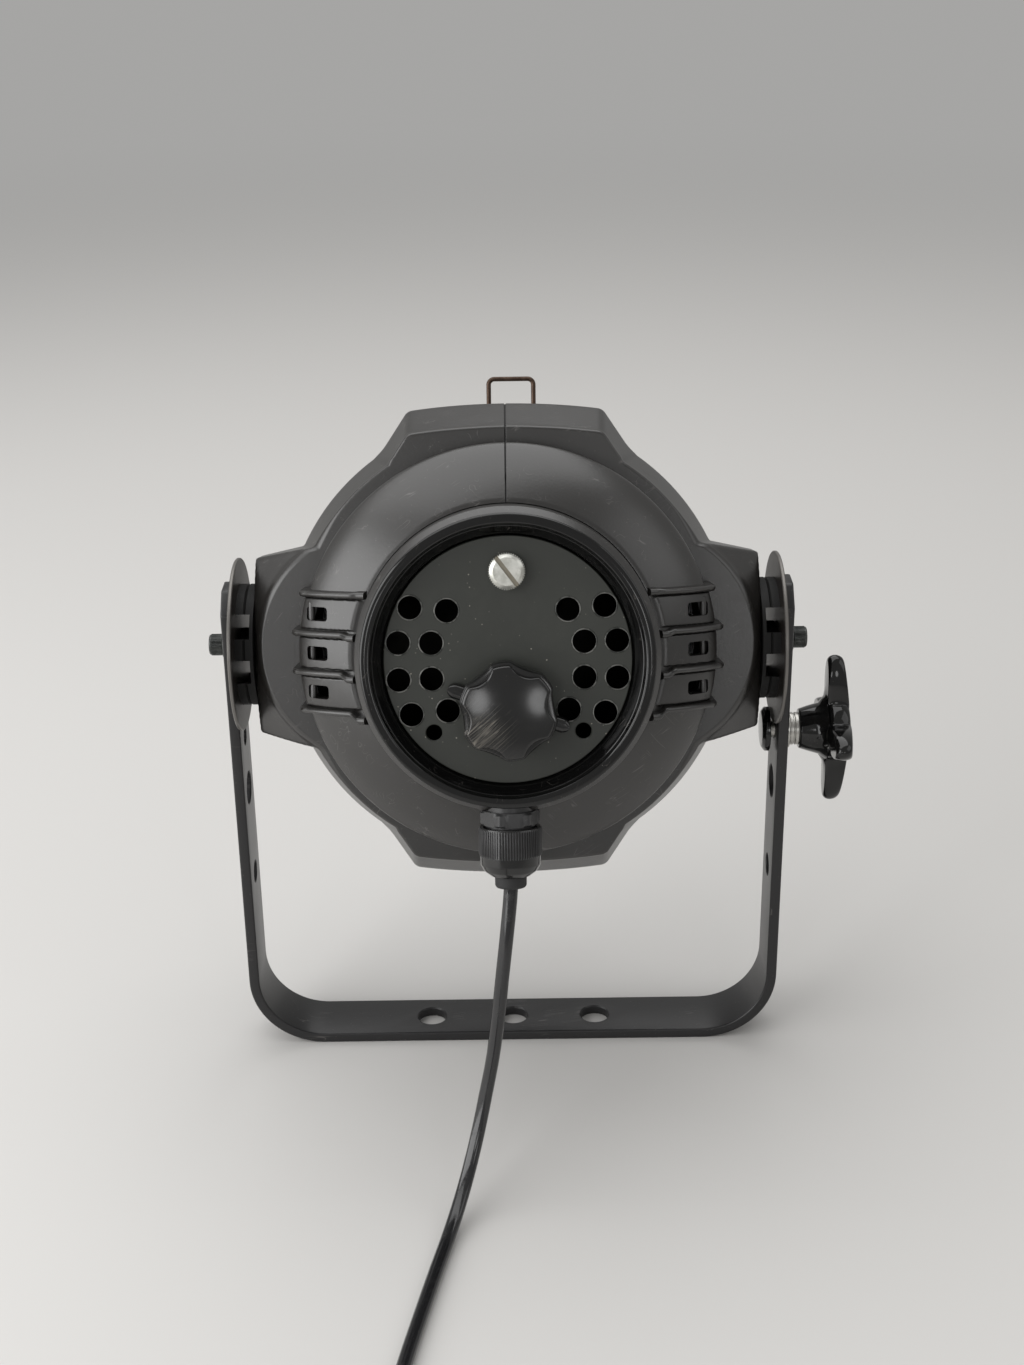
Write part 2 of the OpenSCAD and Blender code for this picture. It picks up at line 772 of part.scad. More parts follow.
module rear_collar() {
    lip = collar_ring_r;
    color("#0e0e10")
    on_housing()
        turned([[neck_bore_r - seat_gap, plate_y + plate_t], [neck_bore_r - seat_gap, neck_end_y],
            [lip + 1, neck_end_y], [lip + 0.8, -rim_y + 2], [lip, -rim_y + 0.8],
            [lip - 1.2, -rim_y + 0.1], [lip - 3, -rim_y], [lip - 4.8, -rim_y + 0.7],
            [lip - 6, -rim_y + 2.4], [lip - 6, -rim_y + 3.8], [collar_bore_r + 1.6, -rim_y + 4.6],
            [collar_bore_r, -rim_y + 6], [collar_bore_r, plate_y + plate_t]]);
}

module vent_hole(r, a, d) {
    translate([r * cos(a), plate_y - cut_over, r * sin(a)])
        about_y() cylinder(d = d, h = plate_t + 2 * cut_over);
}

module vent_plate() {
    color("#3a3b36")
    on_housing()
        difference() {
            translate([0, plate_y, 0]) about_y() cylinder(r = plate_r, h = plate_t);
            for (side = [0, 180], turn = [-1.5 : 1.5]) {
                vent_hole(outer_arc_r, side + turn * outer_step, vent_d);
                vent_hole(inner_arc_r, side + turn * inner_step, vent_d);
            }
            for (a = [-44, -136]) vent_hole(small_arc_r, a, small_d);
            vent_hole(screw_up, 90, 2 * (screw_r + slide_gap));
            vent_hole(knob_down, -90, 2 * (spindle_r + run_gap));
        }
}

// Captive screw with a knurled, chamfered and slotted head
module thumb_screw() {
    r = screw_d / 2;
    slot_w = 1.7;
    color("#c9c8c2")
    on_housing()
        translate([0, plate_y - washer_gap - screw_head_l, screw_up]) {
            difference() {
                intersection() {
                    about_y() linear_extrude(screw_head_l) lobes(48, r - 0.5, r, 1);
                    turned([[0, 0], [r - 1.4, 0], [r, 1.2], [r, screw_head_l], [0, screw_head_l]]);
                }
                rotate([0, 53, 0])
                    translate([-r - cut_over, -cut_over, -slot_w / 2])
                        cube([2 * (r + cut_over), cut_over + 1.6, slot_w]);
            }
            about_y() translate([0, 0, screw_head_l - eps])
                cylinder(r = screw_r, h = washer_gap + plate_t + screw_boss_l - 1);
        }
}

// Winged bar behind the focus knob
module locking_bar() {
    wing = bar_l / 2 - bar_h / 2;
    color("#111113")
    on_housing()
        translate([0, bar_y - bar_t, -knob_down])
            difference() {
                union() {
                    about_y() cylinder(r = bar_hub_r, h = bar_t);
                    rotate([0, -bar_angle, 0]) {
                        translate([-wing, 0.6, -bar_h / 2]) cube([2 * wing, bar_t - 1.2, bar_h]);
                        for (side = [-1, 1]) translate([side * wing, 0, 0])
                            turned([[0, 0], [bar_h / 2 - 0.8, 0], [bar_h / 2, 0.8],
                                [bar_h / 2, bar_t - 0.8], [bar_h / 2 - 0.8, bar_t], [0, bar_t]]);
                    }
                }
                translate([0, -cut_over, 0])
                    about_y() cylinder(r = spindle_r + run_gap, h = bar_t + 2 * cut_over);
            }
}

// Six-lobed focus knob, domed at its edge
module focus_knob() {
    color("#0f0f11")
    on_housing()
        translate([0, knob_y - knob_l, -knob_down])
            difference() {
                intersection() {
                    about_y() linear_extrude(knob_l) lobes(6, knob_r - 3.4, knob_r + 0.9, 1.2, -38);
                    turned([[0, 0], [knob_r - 2.6, 0], [knob_r - 0.9, 0.7], [knob_r, 2.4],
                        [knob_r + 0.6, knob_l - 1], [knob_r - 0.4, knob_l], [0, knob_l]]);
                }
                about_y() translate([0, 0, knob_l - knob_bore_l])
                    cylinder(r = spindle_r + seat_gap, h = knob_bore_l + cut_over);
            }
}

module focus_spindle() {
    start = knob_y - knob_bore_l + seat_gap;
    color("#9a9a96")
    on_housing()
        translate([0, start, -knob_down])
            about_y() cylinder(r = spindle_r, h = carriage_y + carriage_t + focus_travel + 2 - start);
}

module guide_rods() {
    color("#b0b0ab")
    on_housing()
        for (side = [-1, 1])
            translate([side * rod_x, plate_y + plate_t, 0])
                about_y() cylinder(r = rod_r, h = rod_l);
}

module lamp_carriage() {
    color("#8f9092")
    on_housing()
        difference() {
            translate([0, carriage_y, 0]) about_y() cylinder(r = carriage_r, h = carriage_t);
            for (side = [-1, 1])
                translate([side * rod_x, carriage_y - cut_over, 0])
                    about_y() cylinder(r = rod_r + run_gap, h = carriage_t + 2 * cut_over);
            translate([0, carriage_y - cut_over, -knob_down])
                about_y() cylinder(r = spindle_r + run_gap, h = carriage_t + 2 * cut_over);
        }
}

module lamp_socket() {
    color("#e6e2d6")
    on_housing()
        translate([0, carriage_y + carriage_t, 0])
            turned([[0, 0], [socket_r, 0], [socket_r, socket_l - 4], [socket_r - 2, socket_l - 2],
                [socket_r - 2, socket_l], [lamp_base_r + seat_gap, socket_l],
                [lamp_base_r + seat_gap, socket_l - lamp_pinch], [0, socket_l - lamp_pinch]]);
}

// Capsule lamp: pinch in the socket, round bulb in front of it
module lamp() {
    color("#dfe7ea")
    on_housing()
        translate([0, carriage_y + carriage_t + socket_l - lamp_pinch, 0])
            turned([[0, 0], [lamp_base_r, 0], [lamp_base_r, lamp_pinch + 2], [lamp_r, lamp_pinch + 6],
                [lamp_r, lamp_l - 8], [lamp_r - 2.2, lamp_l - 3.4], [3, lamp_l], [0, lamp_l]]);
}

// ================= front =================
function bowl_y(r) = reflector_y - reflector_depth * (1 - pow(r / reflector_r, 2));
module reflector() {
    steps = 12;
    rs = [for (i = [0 : steps]) reflector_hole + (reflector_r - reflector_hole) * i / steps];
    color("#d9dadb")
    on_housing()
        turned(concat(
            [for (r = rs) [r, bowl_y(r)]],
            [[reflector_r, seat_y - reflector_t], [barrel_seat_r - 1, seat_y - reflector_t],
                [barrel_seat_r - 1, seat_y], [reflector_r - reflector_t, seat_y]],
            [for (i = [steps : -1 : 0]) [rs[i] - 0.6, bowl_y(rs[i]) + reflector_t]]));
}

module front_barrel() {
    inner = barrel_seat_r - barrel_wall;
    color("#2e2d2e")
    on_housing()
        turned([[barrel_seat_r, seat_y], [barrel_seat_r, flange_half], [barrel_r, flange_half],
            [barrel_r, flange_half + 8], [barrel_r - 1, flange_half + 9.5],
            [barrel_r - 1, lens_y - 8], [barrel_r, lens_y - 6.5], [barrel_r, barrel_y],
            [lens_r + 0.4, barrel_y], [lens_r + 0.4, lens_y], [lens_r - 5, lens_y],
            [lens_r - 5, lens_y - 2], [inner, lens_y - 6], [inner, seat_y]]);
}

module lens_gasket() {
    color("#1c1c1c")
    on_housing()
        turned([[lens_r - 4, lens_y], [lens_r, lens_y], [lens_r, lens_y + gasket_t],
            [lens_r - 4, lens_y + gasket_t]]);
}

// Plano-convex front glass
module lens() {
    front = lens_y + gasket_t + lens_edge_t;
    steps = 8;
    color("#c6d6da", 0.5)
    on_housing()
        turned(concat(
            [[0, lens_y + gasket_t], [lens_r, lens_y + gasket_t], [lens_r, front]],
            [for (i = [steps - 1 : -1 : 0]) let (r = (lens_r - 8) * i / (steps - 1))
                [r, front + lens_bulge * (1 - pow(r / (lens_r - 8), 2))]]));
}

module lens_ring() {
    y = lens_y + gasket_t + lens_edge_t;
    color("#242426")
    on_housing()
        turned([[lens_r - 6.5, y], [lens_r + 0.2, y], [lens_r + 0.2, y + lens_ring_t],
            [lens_r - 5.5, y + lens_ring_t], [lens_r - 6.5, y + lens_ring_t - 1]]);
}

// Ring on the barrel's end with an open-topped channel for filter frames
module accessory_holder() {
    y = barrel_y;
    lug_mid = clip_w / 2 - 1.5 * clip_d - slide_gap - lug_w / 2;
    color("#29292b")
    on_housing()
        difference() {
            union() {
                turned([[lens_r - 6, y], [holder_r, y], [holder_r, y + holder_t],
                    [lens_r - 6, y + holder_t]]);
                intersection() {
                    turned([[holder_r - holder_t, y + holder_t - eps], [holder_r, y + holder_t - eps],
                        [holder_r, y + slot_l + 2 * holder_t], [holder_r - lip_w, y + slot_l + 2 * holder_t],
                        [holder_r - lip_w, y + slot_l + holder_t],
                        [holder_r - holder_t, y + slot_l + holder_t]]);
                    translate([-holder_r - 1, y, -holder_r - 1])
                        cube([2 * holder_r + 2, slot_l + 3 * holder_t, holder_r + 1 + channel_top]);
                }
                for (side = [-1, 1])
                    translate([clip_x + side * lug_mid - lug_w / 2, clip_y - lug_t / 2, holder_r - 3])
                        cube([lug_w, lug_t, clip_z - holder_r + 3 + lug_t / 2]);
            }
            translate([clip_x - clip_w, clip_y, clip_z])
                along_x() cylinder(d = clip_d + 2 * run_gap, h = 2 * clip_w);
        }
}

// Wire loop, upright at rest, whose feet turn in the holder's lugs
module retaining_clip() {
    r = clip_d / 2;
    foot_x = clip_w / 2 - 1.5 * clip_d;
    foot_l = slide_gap + lug_w + 1;
    corner_r = clip_corner - r;
    bends = concat(
        [for (a = [-90 : 15 : 0]) [foot_x + clip_d * cos(a), clip_d + clip_d * sin(a), 0]],
        [for (a = [0 : 15 : 90])
            [clip_w / 2 - clip_corner + corner_r * cos(a), clip_h - clip_corner + corner_r * sin(a), 0]]);
    n = len(bends) - 1;
    path = concat(bends, [for (i = [n : -1 : 0]) [-bends[i].x, bends[i].y, 0]]);
    color("#3b2a20")
    on_housing()
        translate([clip_x, clip_y, clip_z]) {
            rotate([90, 0, 0])
                tube(path, directions(path, [1, 0, 0], [1, 0, 0]), clip_d, clip_d, 12);
            for (side = [0, 1]) mirror([side, 0, 0])
                translate([foot_x - foot_l, 0, 0]) along_x() cylinder(r = r, h = foot_l + 0.4);
        }
}

// ================= gland =================
module at_gland() on_housing() translate([0, -gland_y, 0]) mirror([0, 0, 1]) children();

module gland_body() {
    color("#1d1d1f")
    at_gland() {
        translate([0, 0, neck_bore_r + 0.4]) cylinder(r = thread_r, h = gland_top - neck_bore_r);
        translate([0, 0, gland_top]) rotate(hex_turn) cylinder(r = hex_r, h = hex_l, $fn = 6);
        translate([0, 0, gland_top + hex_l - eps]) cylinder(r = spigot_r, h = nut_gap + spigot_l);
    }
}

// Clamping nut: fine ribs on a round body that closes to a small mouth
module gland_nut() {
    rib = 0.35;
    color("#1d1d1f")
    at_gland()
        translate([0, 0, nut_z])
            difference() {
                union() {
                    linear_extrude(nut_l)
                        polygon([for (i = [0 : 2 * nut_ribs - 1])
                            let (a = 180 * i / nut_ribs, r = nut_r - rib * (i % 2))
                                [r * cos(a), r * sin(a)]]);
                    rotate_extrude()
                        polygon([[0, nut_l - 1], [nut_r - rib - 0.2, nut_l - 1],
                            [nut_r - rib - 0.4, nut_l + cone_l * 0.35],
                            [nut_r - 2.2, nut_l + cone_l * 0.7], [cone_r, nut_l + cone_l],
                            [0, nut_l + cone_l]]);
                }
                translate([0, 0, -cut_over])
                    cylinder(r = spigot_r + seat_gap, h = spigot_l + cut_over + 0.4);
                cylinder(r = seal_r + seat_gap, h = nut_l + cone_l + cut_over);
            }
}

module gland_seal() {
    color("#202022")
    at_gland()
        translate([0, 0, nut_z + spigot_l])
            difference() {
                cylinder(r = seal_r, h = gland_end - nut_z - spigot_l);
                translate([0, 0, gland_end - nut_z - spigot_l - 0.8])
                    rotate_extrude() polygon([[seal_r - 0.6, 0.8 + eps], [seal_r + 1, 0.8 + eps],
                        [seal_r + 1, 0]]);
            }
}

// ================= lead, coil and plug =================
function unit(v) = v / norm(v);
// Ring of n points round p: w wide across the run dir, h thick
function ring(p, dir, w, h, n) = let (side = unit([dir.y, -dir.x, 0]), up = cross(side, dir))
    [for (k = [0 : n - 1]) let (a = 360 * (k + 0.5) / n) p + side * w / 2 * cos(a) + up * h / 2 * sin(a)];

// Closed tube through the points, with a given direction at each
module tube(points, dirs, w, h, n) {
    count = len(points);
    verts = [for (i = [0 : count - 1]) each ring(points[i], dirs[i], w, h, n)];
    side_faces = [for (i = [0 : count - 2], k = [0 : n - 1])
        let (a = i * n + k, b = i * n + (k + 1) % n)
            each [[a, b, b + n], [a, b + n, a + n]]];
    first_cap = [for (k = [1 : n - 2]) [0, k + 1, k]];
    last = (count - 1) * n;
    last_cap = [for (k = [1 : n - 2]) [last, last + k, last + k + 1]];
    polyhedron(verts, concat(side_faces, first_cap, last_cap), convexity = 10);
}

// Smooth curve through the route's points, with steps runs between each two
function curve(p0, p1, p2, p3, t) = 0.5 * (2 * p1 + (p2 - p0) * t
    + (2 * p0 - 5 * p1 + 4 * p2 - p3) * t * t + (3 * p1 - p0 - 3 * p2 + p3) * t * t * t);
function smooth(path, steps) = let (n = len(path) - 1, ends = concat(
        [2 * path[0] - path[1]], path, [2 * path[n] - path[n - 1]]))
    concat([for (i = [0 : n - 1], s = [0 : steps - 1])
        curve(ends[i], ends[i + 1], ends[i + 2], ends[i + 3], s / steps)], [path[n]]);
function directions(path, first, last) = let (n = len(path) - 1)
    [for (i = [0 : n]) i == 0 ? unit(first) : i == n ? unit(last) : unit(path[i + 1] - path[i - 1])];
function run_length(path, i = 1) = i >= len(path) ? 0 : norm(path[i] - path[i - 1]) + run_length(path, i + 1);

lead_path = smooth(route, 2);
lead_dirs = directions(lead_path, [0, -sin(tilt), -cos(tilt)], [0, -1, 0]);

module power_cable() {
    color("#131314")
    tube(lead_path, lead_dirs, cable_w, cable_t, 12);
}

// The coil spirals in, climbs a layer in the half turn round its innermost point, and spirals out
turn_back = coil_turns / 2;
function ease(t) = t <= 0 ? 0 : t >= 1 ? 1 : t * t * (3 - 2 * t);
function coil_point(t) = let (r = coil_out_r - coil_step * (turn_back - abs(t - turn_back)))
    [coil_mid.x + r * cos(360 * t), coil_mid.y - r * sin(360 * t),
        coil_z + coil_lift * ease((t - turn_back + 0.25) / 0.5)];
coil_run = [for (i = [0 : coil_turns * coil_rings]) coil_point(i / coil_rings)];
coil_end = coil_run[len(coil_run) - 1];
tail_run = [for (s = [1 : 6]) coil_end + [-cable_w - tail_l * s / 6, 0,
    (plug_r - coil_end.z) * (1 - cos(180 * s / 6)) / 2]];
coil_path = concat([route[len(route) - 1]], coil_run, [coil_end - [cable_w, 0, 0]], tail_run,
    [tail_run[5] - [cable_w, 0, 0]]);
coil_dirs = directions(coil_path, [0, -1, 0], [-1, 0, 0]);

// Least clear distance between two runs of the coil, from the tube's half sizes along their offset
function run_gap_between(a, b) = let (d = b - a, u = d / norm(d), flat = norm([u.x, u.y]))
    norm(d) - 2 * norm([cable_w / 2 * flat, cable_t / 2 * u.z]);
coil_gap = min([for (i = [0 : len(coil_run) - 1], j = [i + coil_rings / 2 : len(coil_run) - 1])
    run_gap_between(coil_run[i], coil_run[j])]);

module cable_coil() {
    echo(coil_least_gap_mm = coil_gap);
    echo(cable_length_mm = run_length(lead_path) + run_length(coil_path));
    color("#131314")
    tube(coil_path, coil_dirs, cable_w, cable_t, 6);
}

// Strap round the turns on the side away from the lead
module cable_tie() {
    inner = coil_out_r - coil_step * 1.75 - cable_w / 2 - slide_gap;
    outer = coil_out_r - coil_step * 0.5 + cable_w / 2 + slide_gap;
    h = coil_z + coil_lift + cable_t / 2 + slide_gap;
    color("#2a2a2c")
    translate([coil_mid.x - outer - tie_t, coil_mid.y - tie_w / 2, 0])
        difference() {
            cube([outer - inner + 2 * tie_t, tie_w, h + tie_t]);
            translate([tie_t, -cut_over, tie_t - seat_gap])
                cube([outer - inner, tie_w + 2 * cut_over, h - tie_t + seat_gap]);
        }
}

module at_plug() {
    translate([coil_path[len(coil_path) - 1].x, coil_end.y, plug_r]) rotate([0, -90, 0]) children();
}

// Round two-pin plug lying beside the coil, with its tapered strain relief
module plug_body() {
    color("#18181a")
    at_plug()
        rotate_extrude()
            polygon([[0, 0], [cable_w / 2 + 1, 0], [cable_w / 2 + 2.5, relief_l],
                [plug_r * 0.6, relief_l + 3], [plug_r - 3, relief_l + plug_l * 0.35],
                [plug_r - 2, relief_l + plug_l * 0.6], [plug_r, relief_l + plug_l * 0.7],
                [plug_r, relief_l + plug_l - 1], [plug_r - 1, relief_l + plug_l],
                [0, relief_l + plug_l]]);
}

module plug_pins() {
    color("#c8c6bd")
    at_plug()
        for (side = [-1, 1])
            translate([0, side * pin_pitch / 2, relief_l + plug_l])
                rotate_extrude()
                    polygon([[0, 0], [pin_r, 0], [pin_r, pin_l - 1.5], [pin_r - 1, pin_l], [0, pin_l]]);
}

// ================= left and right nodes =================
module to_left() mirror([1, 0, 0]) children();
module pivot_bush_left() to_left() pivot_bush();
module pivot_bush_right() pivot_bush();
module tilt_disc_left() to_left() tilt_disc();
module tilt_disc_right() tilt_disc();
module spacer_drum_left() to_left() spacer_drum();
module spacer_drum_right() spacer_drum();
module pivot_bolt_left() to_left() pivot_bolt();
module pivot_bolt_right() pivot_bolt();
module housing_left() housing_half(-1);
module housing_right() housing_half(1);

yoke();
pivot_bush_left();
pivot_bush_right();
clamp_pad();
clamp_washer();
clamp_stud();
clamp_handle();
tilt_disc_left();
tilt_disc_right();
spacer_drum_left();
spacer_drum_right();
pivot_bolt_left();
pivot_bolt_right();
housing_left();
housing_right();
housing_screws();
neck_ring();
rear_collar();
vent_plate();
thumb_screw();
locking_bar();
focus_knob();
focus_spindle();
guide_rods();
lamp_carriage();
lamp_socket();
lamp();
reflector();
front_barrel();
lens_gasket();
lens();
lens_ring();
accessory_holder();
retaining_clip();
gland_body();
gland_nut();
gland_seal();
power_cable();
cable_coil();
cable_tie();
plug_body();
plug_pins();
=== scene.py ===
# %% [markdown]
# # A stage spotlight, dressed
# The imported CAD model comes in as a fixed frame: every solid is where it belongs and
# stays there. This script gives each of them a finish, and puts more finely shaped
# pieces over those that are seen close up. Sizes are written in millimetres and become
# metres when a mesh is made.

import json
import math

import bmesh
import bpy
import numpy as np
from mathutils import Matrix, Vector


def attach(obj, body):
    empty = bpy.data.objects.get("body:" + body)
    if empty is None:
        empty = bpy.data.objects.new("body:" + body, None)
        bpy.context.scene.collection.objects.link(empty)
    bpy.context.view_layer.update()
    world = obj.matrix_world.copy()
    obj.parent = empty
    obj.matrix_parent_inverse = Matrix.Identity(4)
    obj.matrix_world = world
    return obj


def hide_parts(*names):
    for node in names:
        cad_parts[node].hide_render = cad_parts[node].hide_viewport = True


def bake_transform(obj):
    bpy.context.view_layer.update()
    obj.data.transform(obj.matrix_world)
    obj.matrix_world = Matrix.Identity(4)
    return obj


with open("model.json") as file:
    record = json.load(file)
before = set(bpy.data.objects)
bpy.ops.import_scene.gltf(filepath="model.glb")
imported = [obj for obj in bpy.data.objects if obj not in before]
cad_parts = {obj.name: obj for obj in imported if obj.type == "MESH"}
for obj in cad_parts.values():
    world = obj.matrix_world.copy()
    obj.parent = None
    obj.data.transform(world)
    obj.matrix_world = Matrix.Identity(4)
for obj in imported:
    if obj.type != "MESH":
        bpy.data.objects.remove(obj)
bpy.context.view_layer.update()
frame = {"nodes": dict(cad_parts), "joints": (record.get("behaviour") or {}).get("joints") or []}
MM = 0.001


def joint(name):
    return next(j for j in frame["joints"] if j["name"] == name)


PIVOT = 1000 * joint("tilt")["pos_m"][2]
FORWARD = Vector(joint("focus_travel")["axis"])
TILT = math.atan2(-FORWARD.z, FORWARD.y)
print("the housing hangs", round(PIVOT, 1), "mm up and tips", round(math.degrees(TILT), 1), "degrees")

# %% [markdown]
# The housing is drawn square to its own axis, lens along +Y, and then tipped with one
# matrix. Everything that tips with it goes through LANTERN. Pieces on the yoke use PLAIN.
# What is drawn along Y is spun so that it runs along X, along -X, or down.

# %% Places
PLAIN = Matrix()


def at(x, y, z):
    return Matrix.Translation((x, y, z))


def spin(degrees, axis):
    return Matrix.Rotation(math.radians(degrees), 4, axis)


LANTERN = at(0, 0, PIVOT) @ Matrix.Rotation(-TILT, 4, "X")
ALONG_X, ALONG_MINUS_X, DOWNWARD = spin(-90, "Z"), spin(90, "Z"), spin(-90, "X")
SIDES = {"left": (-1, ALONG_MINUS_X), "right": (1, ALONG_X)}
print("the lens axis points along", [round(v, 3) for v in LANTERN.to_3x3() @ Vector((0, 1, 0))])

# %% [markdown]
# The camera stands behind the light and looks down on it a little. Its lens comes from
# the focal length in pixels of a frame that is 1365 pixels high.

# %% Camera
FRAME_H, FOCAL_PX, SENSOR = 1365, 1953.6, 36
EYE = Vector((2.04, -831.93, 566.97))
LOOK_DOWN, LOOK_TURN, LOOK_ROLL = math.radians(24.393), math.radians(0.033), math.radians(-0.784)

aim = (Matrix.Rotation(LOOK_ROLL, 3, "Y") @ Matrix.Rotation(LOOK_DOWN, 3, "X")
       @ Matrix.Rotation(-LOOK_TURN, 3, "Z"))
right, ahead, up = aim
camera = bpy.data.objects.new("camera", bpy.data.cameras.new("camera"))
camera.data.sensor_fit = "VERTICAL"
camera.data.sensor_height = SENSOR
camera.data.lens = SENSOR * FOCAL_PX / FRAME_H
camera.data.clip_start = 0.01
camera.matrix_world = Matrix.Translation(EYE * MM) @ Matrix((right, up, -ahead)).transposed().to_4x4()
bpy.context.scene.collection.objects.link(camera)
bpy.context.scene.camera = camera
print("camera lens", round(camera.data.lens, 2), "mm")

# %% [markdown]
# Shader maths reads best as plain sums. `Val` wraps a socket, so `base + 0.3 * grain` adds
# the Math nodes by itself. `Tree.add` makes any other node, for shaders and for
# geometry: first its settings, then the values or links of its inputs.

# %% Node trees as sums
class Val:
    def __init__(self, tree, socket):
        self.tree, self.socket = tree, socket

    def maths(self, operation, a, b=0.0):
        return self.tree.add("ShaderNodeMath", {"operation": operation}, {0: a, 1: b})

    def __add__(self, other):
        return self.maths("ADD", self, other)

    def __sub__(self, other):
        return self.maths("SUBTRACT", self, other)

    def __rsub__(self, other):
        return self.maths("SUBTRACT", other, self)

    def __mul__(self, other):
        return self.maths("MULTIPLY", self, other)

    def __abs__(self):
        return self.maths("ABSOLUTE", self)

    def most(self, other):
        return self.maths("MAXIMUM", self, other)

    __radd__ = __add__
    __rmul__ = __mul__


class Tree:
    def __init__(self, node_tree):
        self.inner = node_tree

    def add(self, kind, settings=None, inputs=None, output=0):
        node = self.inner.nodes.new(kind)
        for name, value in (settings or {}).items():
            setattr(node, name, value)
        for name, value in (inputs or {}).items():
            if isinstance(value, Val):
                self.inner.links.new(value.socket, node.inputs[name])
            else:
                node.inputs[name].default_value = value
        return None if output is None else Val(self, node.outputs[output])


print("node helper ready")

# %% [markdown]
# A finish is a Principled shader with a few layers that all read Object coordinates, so
# they stay put when a piece is exported. `Finish` starts one, and gives the layers that
# most of the finishes here share: grain, soft blotches, hairline scratches and dust.

# %% Finish helper
class Finish(Tree):
    def __init__(self, name, colour, roughness, **fixed):
        self.material = bpy.data.materials.new(name)
        self.material.use_nodes = True
        super().__init__(self.material.node_tree)
        self.inner.nodes.clear()
        self.shader = self.inner.nodes.new("ShaderNodeBsdfPrincipled")
        self.out = self.inner.nodes.new("ShaderNodeOutputMaterial")
        self.inner.links.new(self.shader.outputs[0], self.out.inputs[0])
        self.where = self.add("ShaderNodeTexCoord", output="Object")
        self.set(**{"Base Color": (*colour, 1), "Roughness": roughness}, **fixed)

    def set(self, **sockets):
        for name, value in sockets.items():
            name = name.replace("_", " ")
            if isinstance(value, Val):
                self.inner.links.new(value.socket, self.shader.inputs[name])
            else:
                self.shader.inputs[name].default_value = value

    def coat(self):
        """The colour that is linked so far, for a layer that goes over it."""
        return Val(self, self.shader.inputs["Base Color"].links[0].from_socket)

    def noise(self, scale, detail=2.0, rough=0.5, where=None):
        sockets = {"Vector": where or self.where, "Scale": scale, "Detail": detail, "Roughness": rough}
        return self.add("ShaderNodeTexNoise", {}, sockets)

    def ramp(self, value, low, high):
        return self.add("ShaderNodeMapRange", {"clamp": True},
                        {"Value": value, "From Min": low, "From Max": high})

    def patches(self, scale, low, high, detail=5.0, rough=0.7):
        """Patches with soft edges, where a noise rises from low to high."""
        return self.ramp(self.noise(scale, detail, rough), low, high)

    def turned(self, angles, stretch=(1, 1, 1), middle=(0, 0, 0)):
        """Object coordinates in a frame that is moved, turned (degrees) and drawn out on its axes."""
        return self.add("ShaderNodeMapping", {"vector_type": "TEXTURE"}, {
            "Vector": self.where, "Location": [v * MM for v in middle],
            "Rotation": [math.radians(a) for a in angles], "Scale": stretch})

    def blend(self, factor, a, b):
        sockets = {0: factor, 6: self.plain(a), 7: self.plain(b)}
        return self.add("ShaderNodeMix", {"data_type": "RGBA"}, sockets, output=2)

    def plain(self, colour):
        return colour if isinstance(colour, Val) else (*colour, 1)

    def bump(self, height, depth, strength=1.0):
        sockets = {"Height": height, "Distance": depth, "Strength": strength}
        self.set(Normal=self.add("ShaderNodeBump", {}, sockets))

    def hairlines(self, scale, angles, share, where=None, deep=1):
        """Thin scratches: a noise drawn out along a turned Z axis, where it crosses its middle."""
        drawn = self.noise(scale, 0.0, 0.4, self.turned(angles, (1, deep, 50)))
        where = where or self.patches(scale * 0.25, 0.6, 0.68, 1.0, 0.5)
        return (1 - self.ramp(abs(drawn - 0.5), 0.0, share)) * where

    def near(self, x, y, z, inner, outer):
        """1 within inner mm of a point of the object, 0 beyond outer mm."""
        ends = {0: self.where, 1: (x * MM, y * MM, z * MM)}
        away = self.add("ShaderNodeVectorMath", {"operation": "DISTANCE"}, ends, "Value")
        return 1 - self.ramp(away, inner * MM, outer * MM)

    def along(self, axis, where=None):
        """One coordinate, X, Y or Z, in metres."""
        return self.add("ShaderNodeSeparateXYZ", {}, {0: where or self.where}, axis)

    def specks(self, scale, share=0.12):
        """Dust: small dots at the hearts of the cells of a Voronoi pattern, of uneven strength."""
        cell = self.add("ShaderNodeTexVoronoi", {}, {"Vector": self.where, "Scale": scale})
        return (1 - self.ramp(cell, share * 0.5, share)) * self.patches(scale * 0.3, 0.5, 0.6, 2.0, 0.5)


print("finish helper ready")

# %% [markdown]
# The castings are painted satin dark brown-grey. The paint is a little uneven, has a
# fine orange peel, and carries dust, faint rubs and a few bright scratches.

# %% Paints
SCRATCHED, DUST = (0.20, 0.19, 0.18), (0.24, 0.23, 0.21)


def casting(name, seam):
    """The castings' paint. With a seam, the groove where the halves meet, at x = 0, is painted near black: grime,
    and painted shade.
    """
    paint = Finish(name, (0.015, 0.014, 0.013), 0.38, IOR=1.7)
    peel, blotch = paint.noise(750, 2.0), paint.noise(22, 3.0, 0.6)
    rubs = paint.patches(60, 0.60, 0.76)
    scratches = paint.hairlines(420, (0, 62, 20), 0.02).most(paint.hairlines(330, (20, -38, 0), 0.016))
    dust = paint.specks(430)
    coat = paint.blend(blotch, (0.0125, 0.0114, 0.0104), (0.0175, 0.0162, 0.0150))
    coat = paint.blend(0.25 * rubs, coat, (0.045, 0.042, 0.039))
    coat = paint.blend((0.35 * scratches).most(0.3 * dust), coat, SCRATCHED)
    rough = 0.28 + 0.08 * blotch + 0.08 * rubs + 0.12 * dust
    if seam:
        # Painted shade and grime: within half a millimetre of the seam the paint is near black and rougher.
        grime_and_shade = 1 - paint.ramp(abs(paint.along("X")), 0.3 * MM, 0.5 * MM)
        coat, rough = paint.blend(grime_and_shade, coat, (0.003, 0.003, 0.003)), rough + 0.4 * grime_and_shade
    paint.set(Base_Color=coat, Roughness=rough)
    paint.bump(peel + 0.5 * blotch - 0.5 * scratches, 0.05 * MM, 0.7)
    return paint


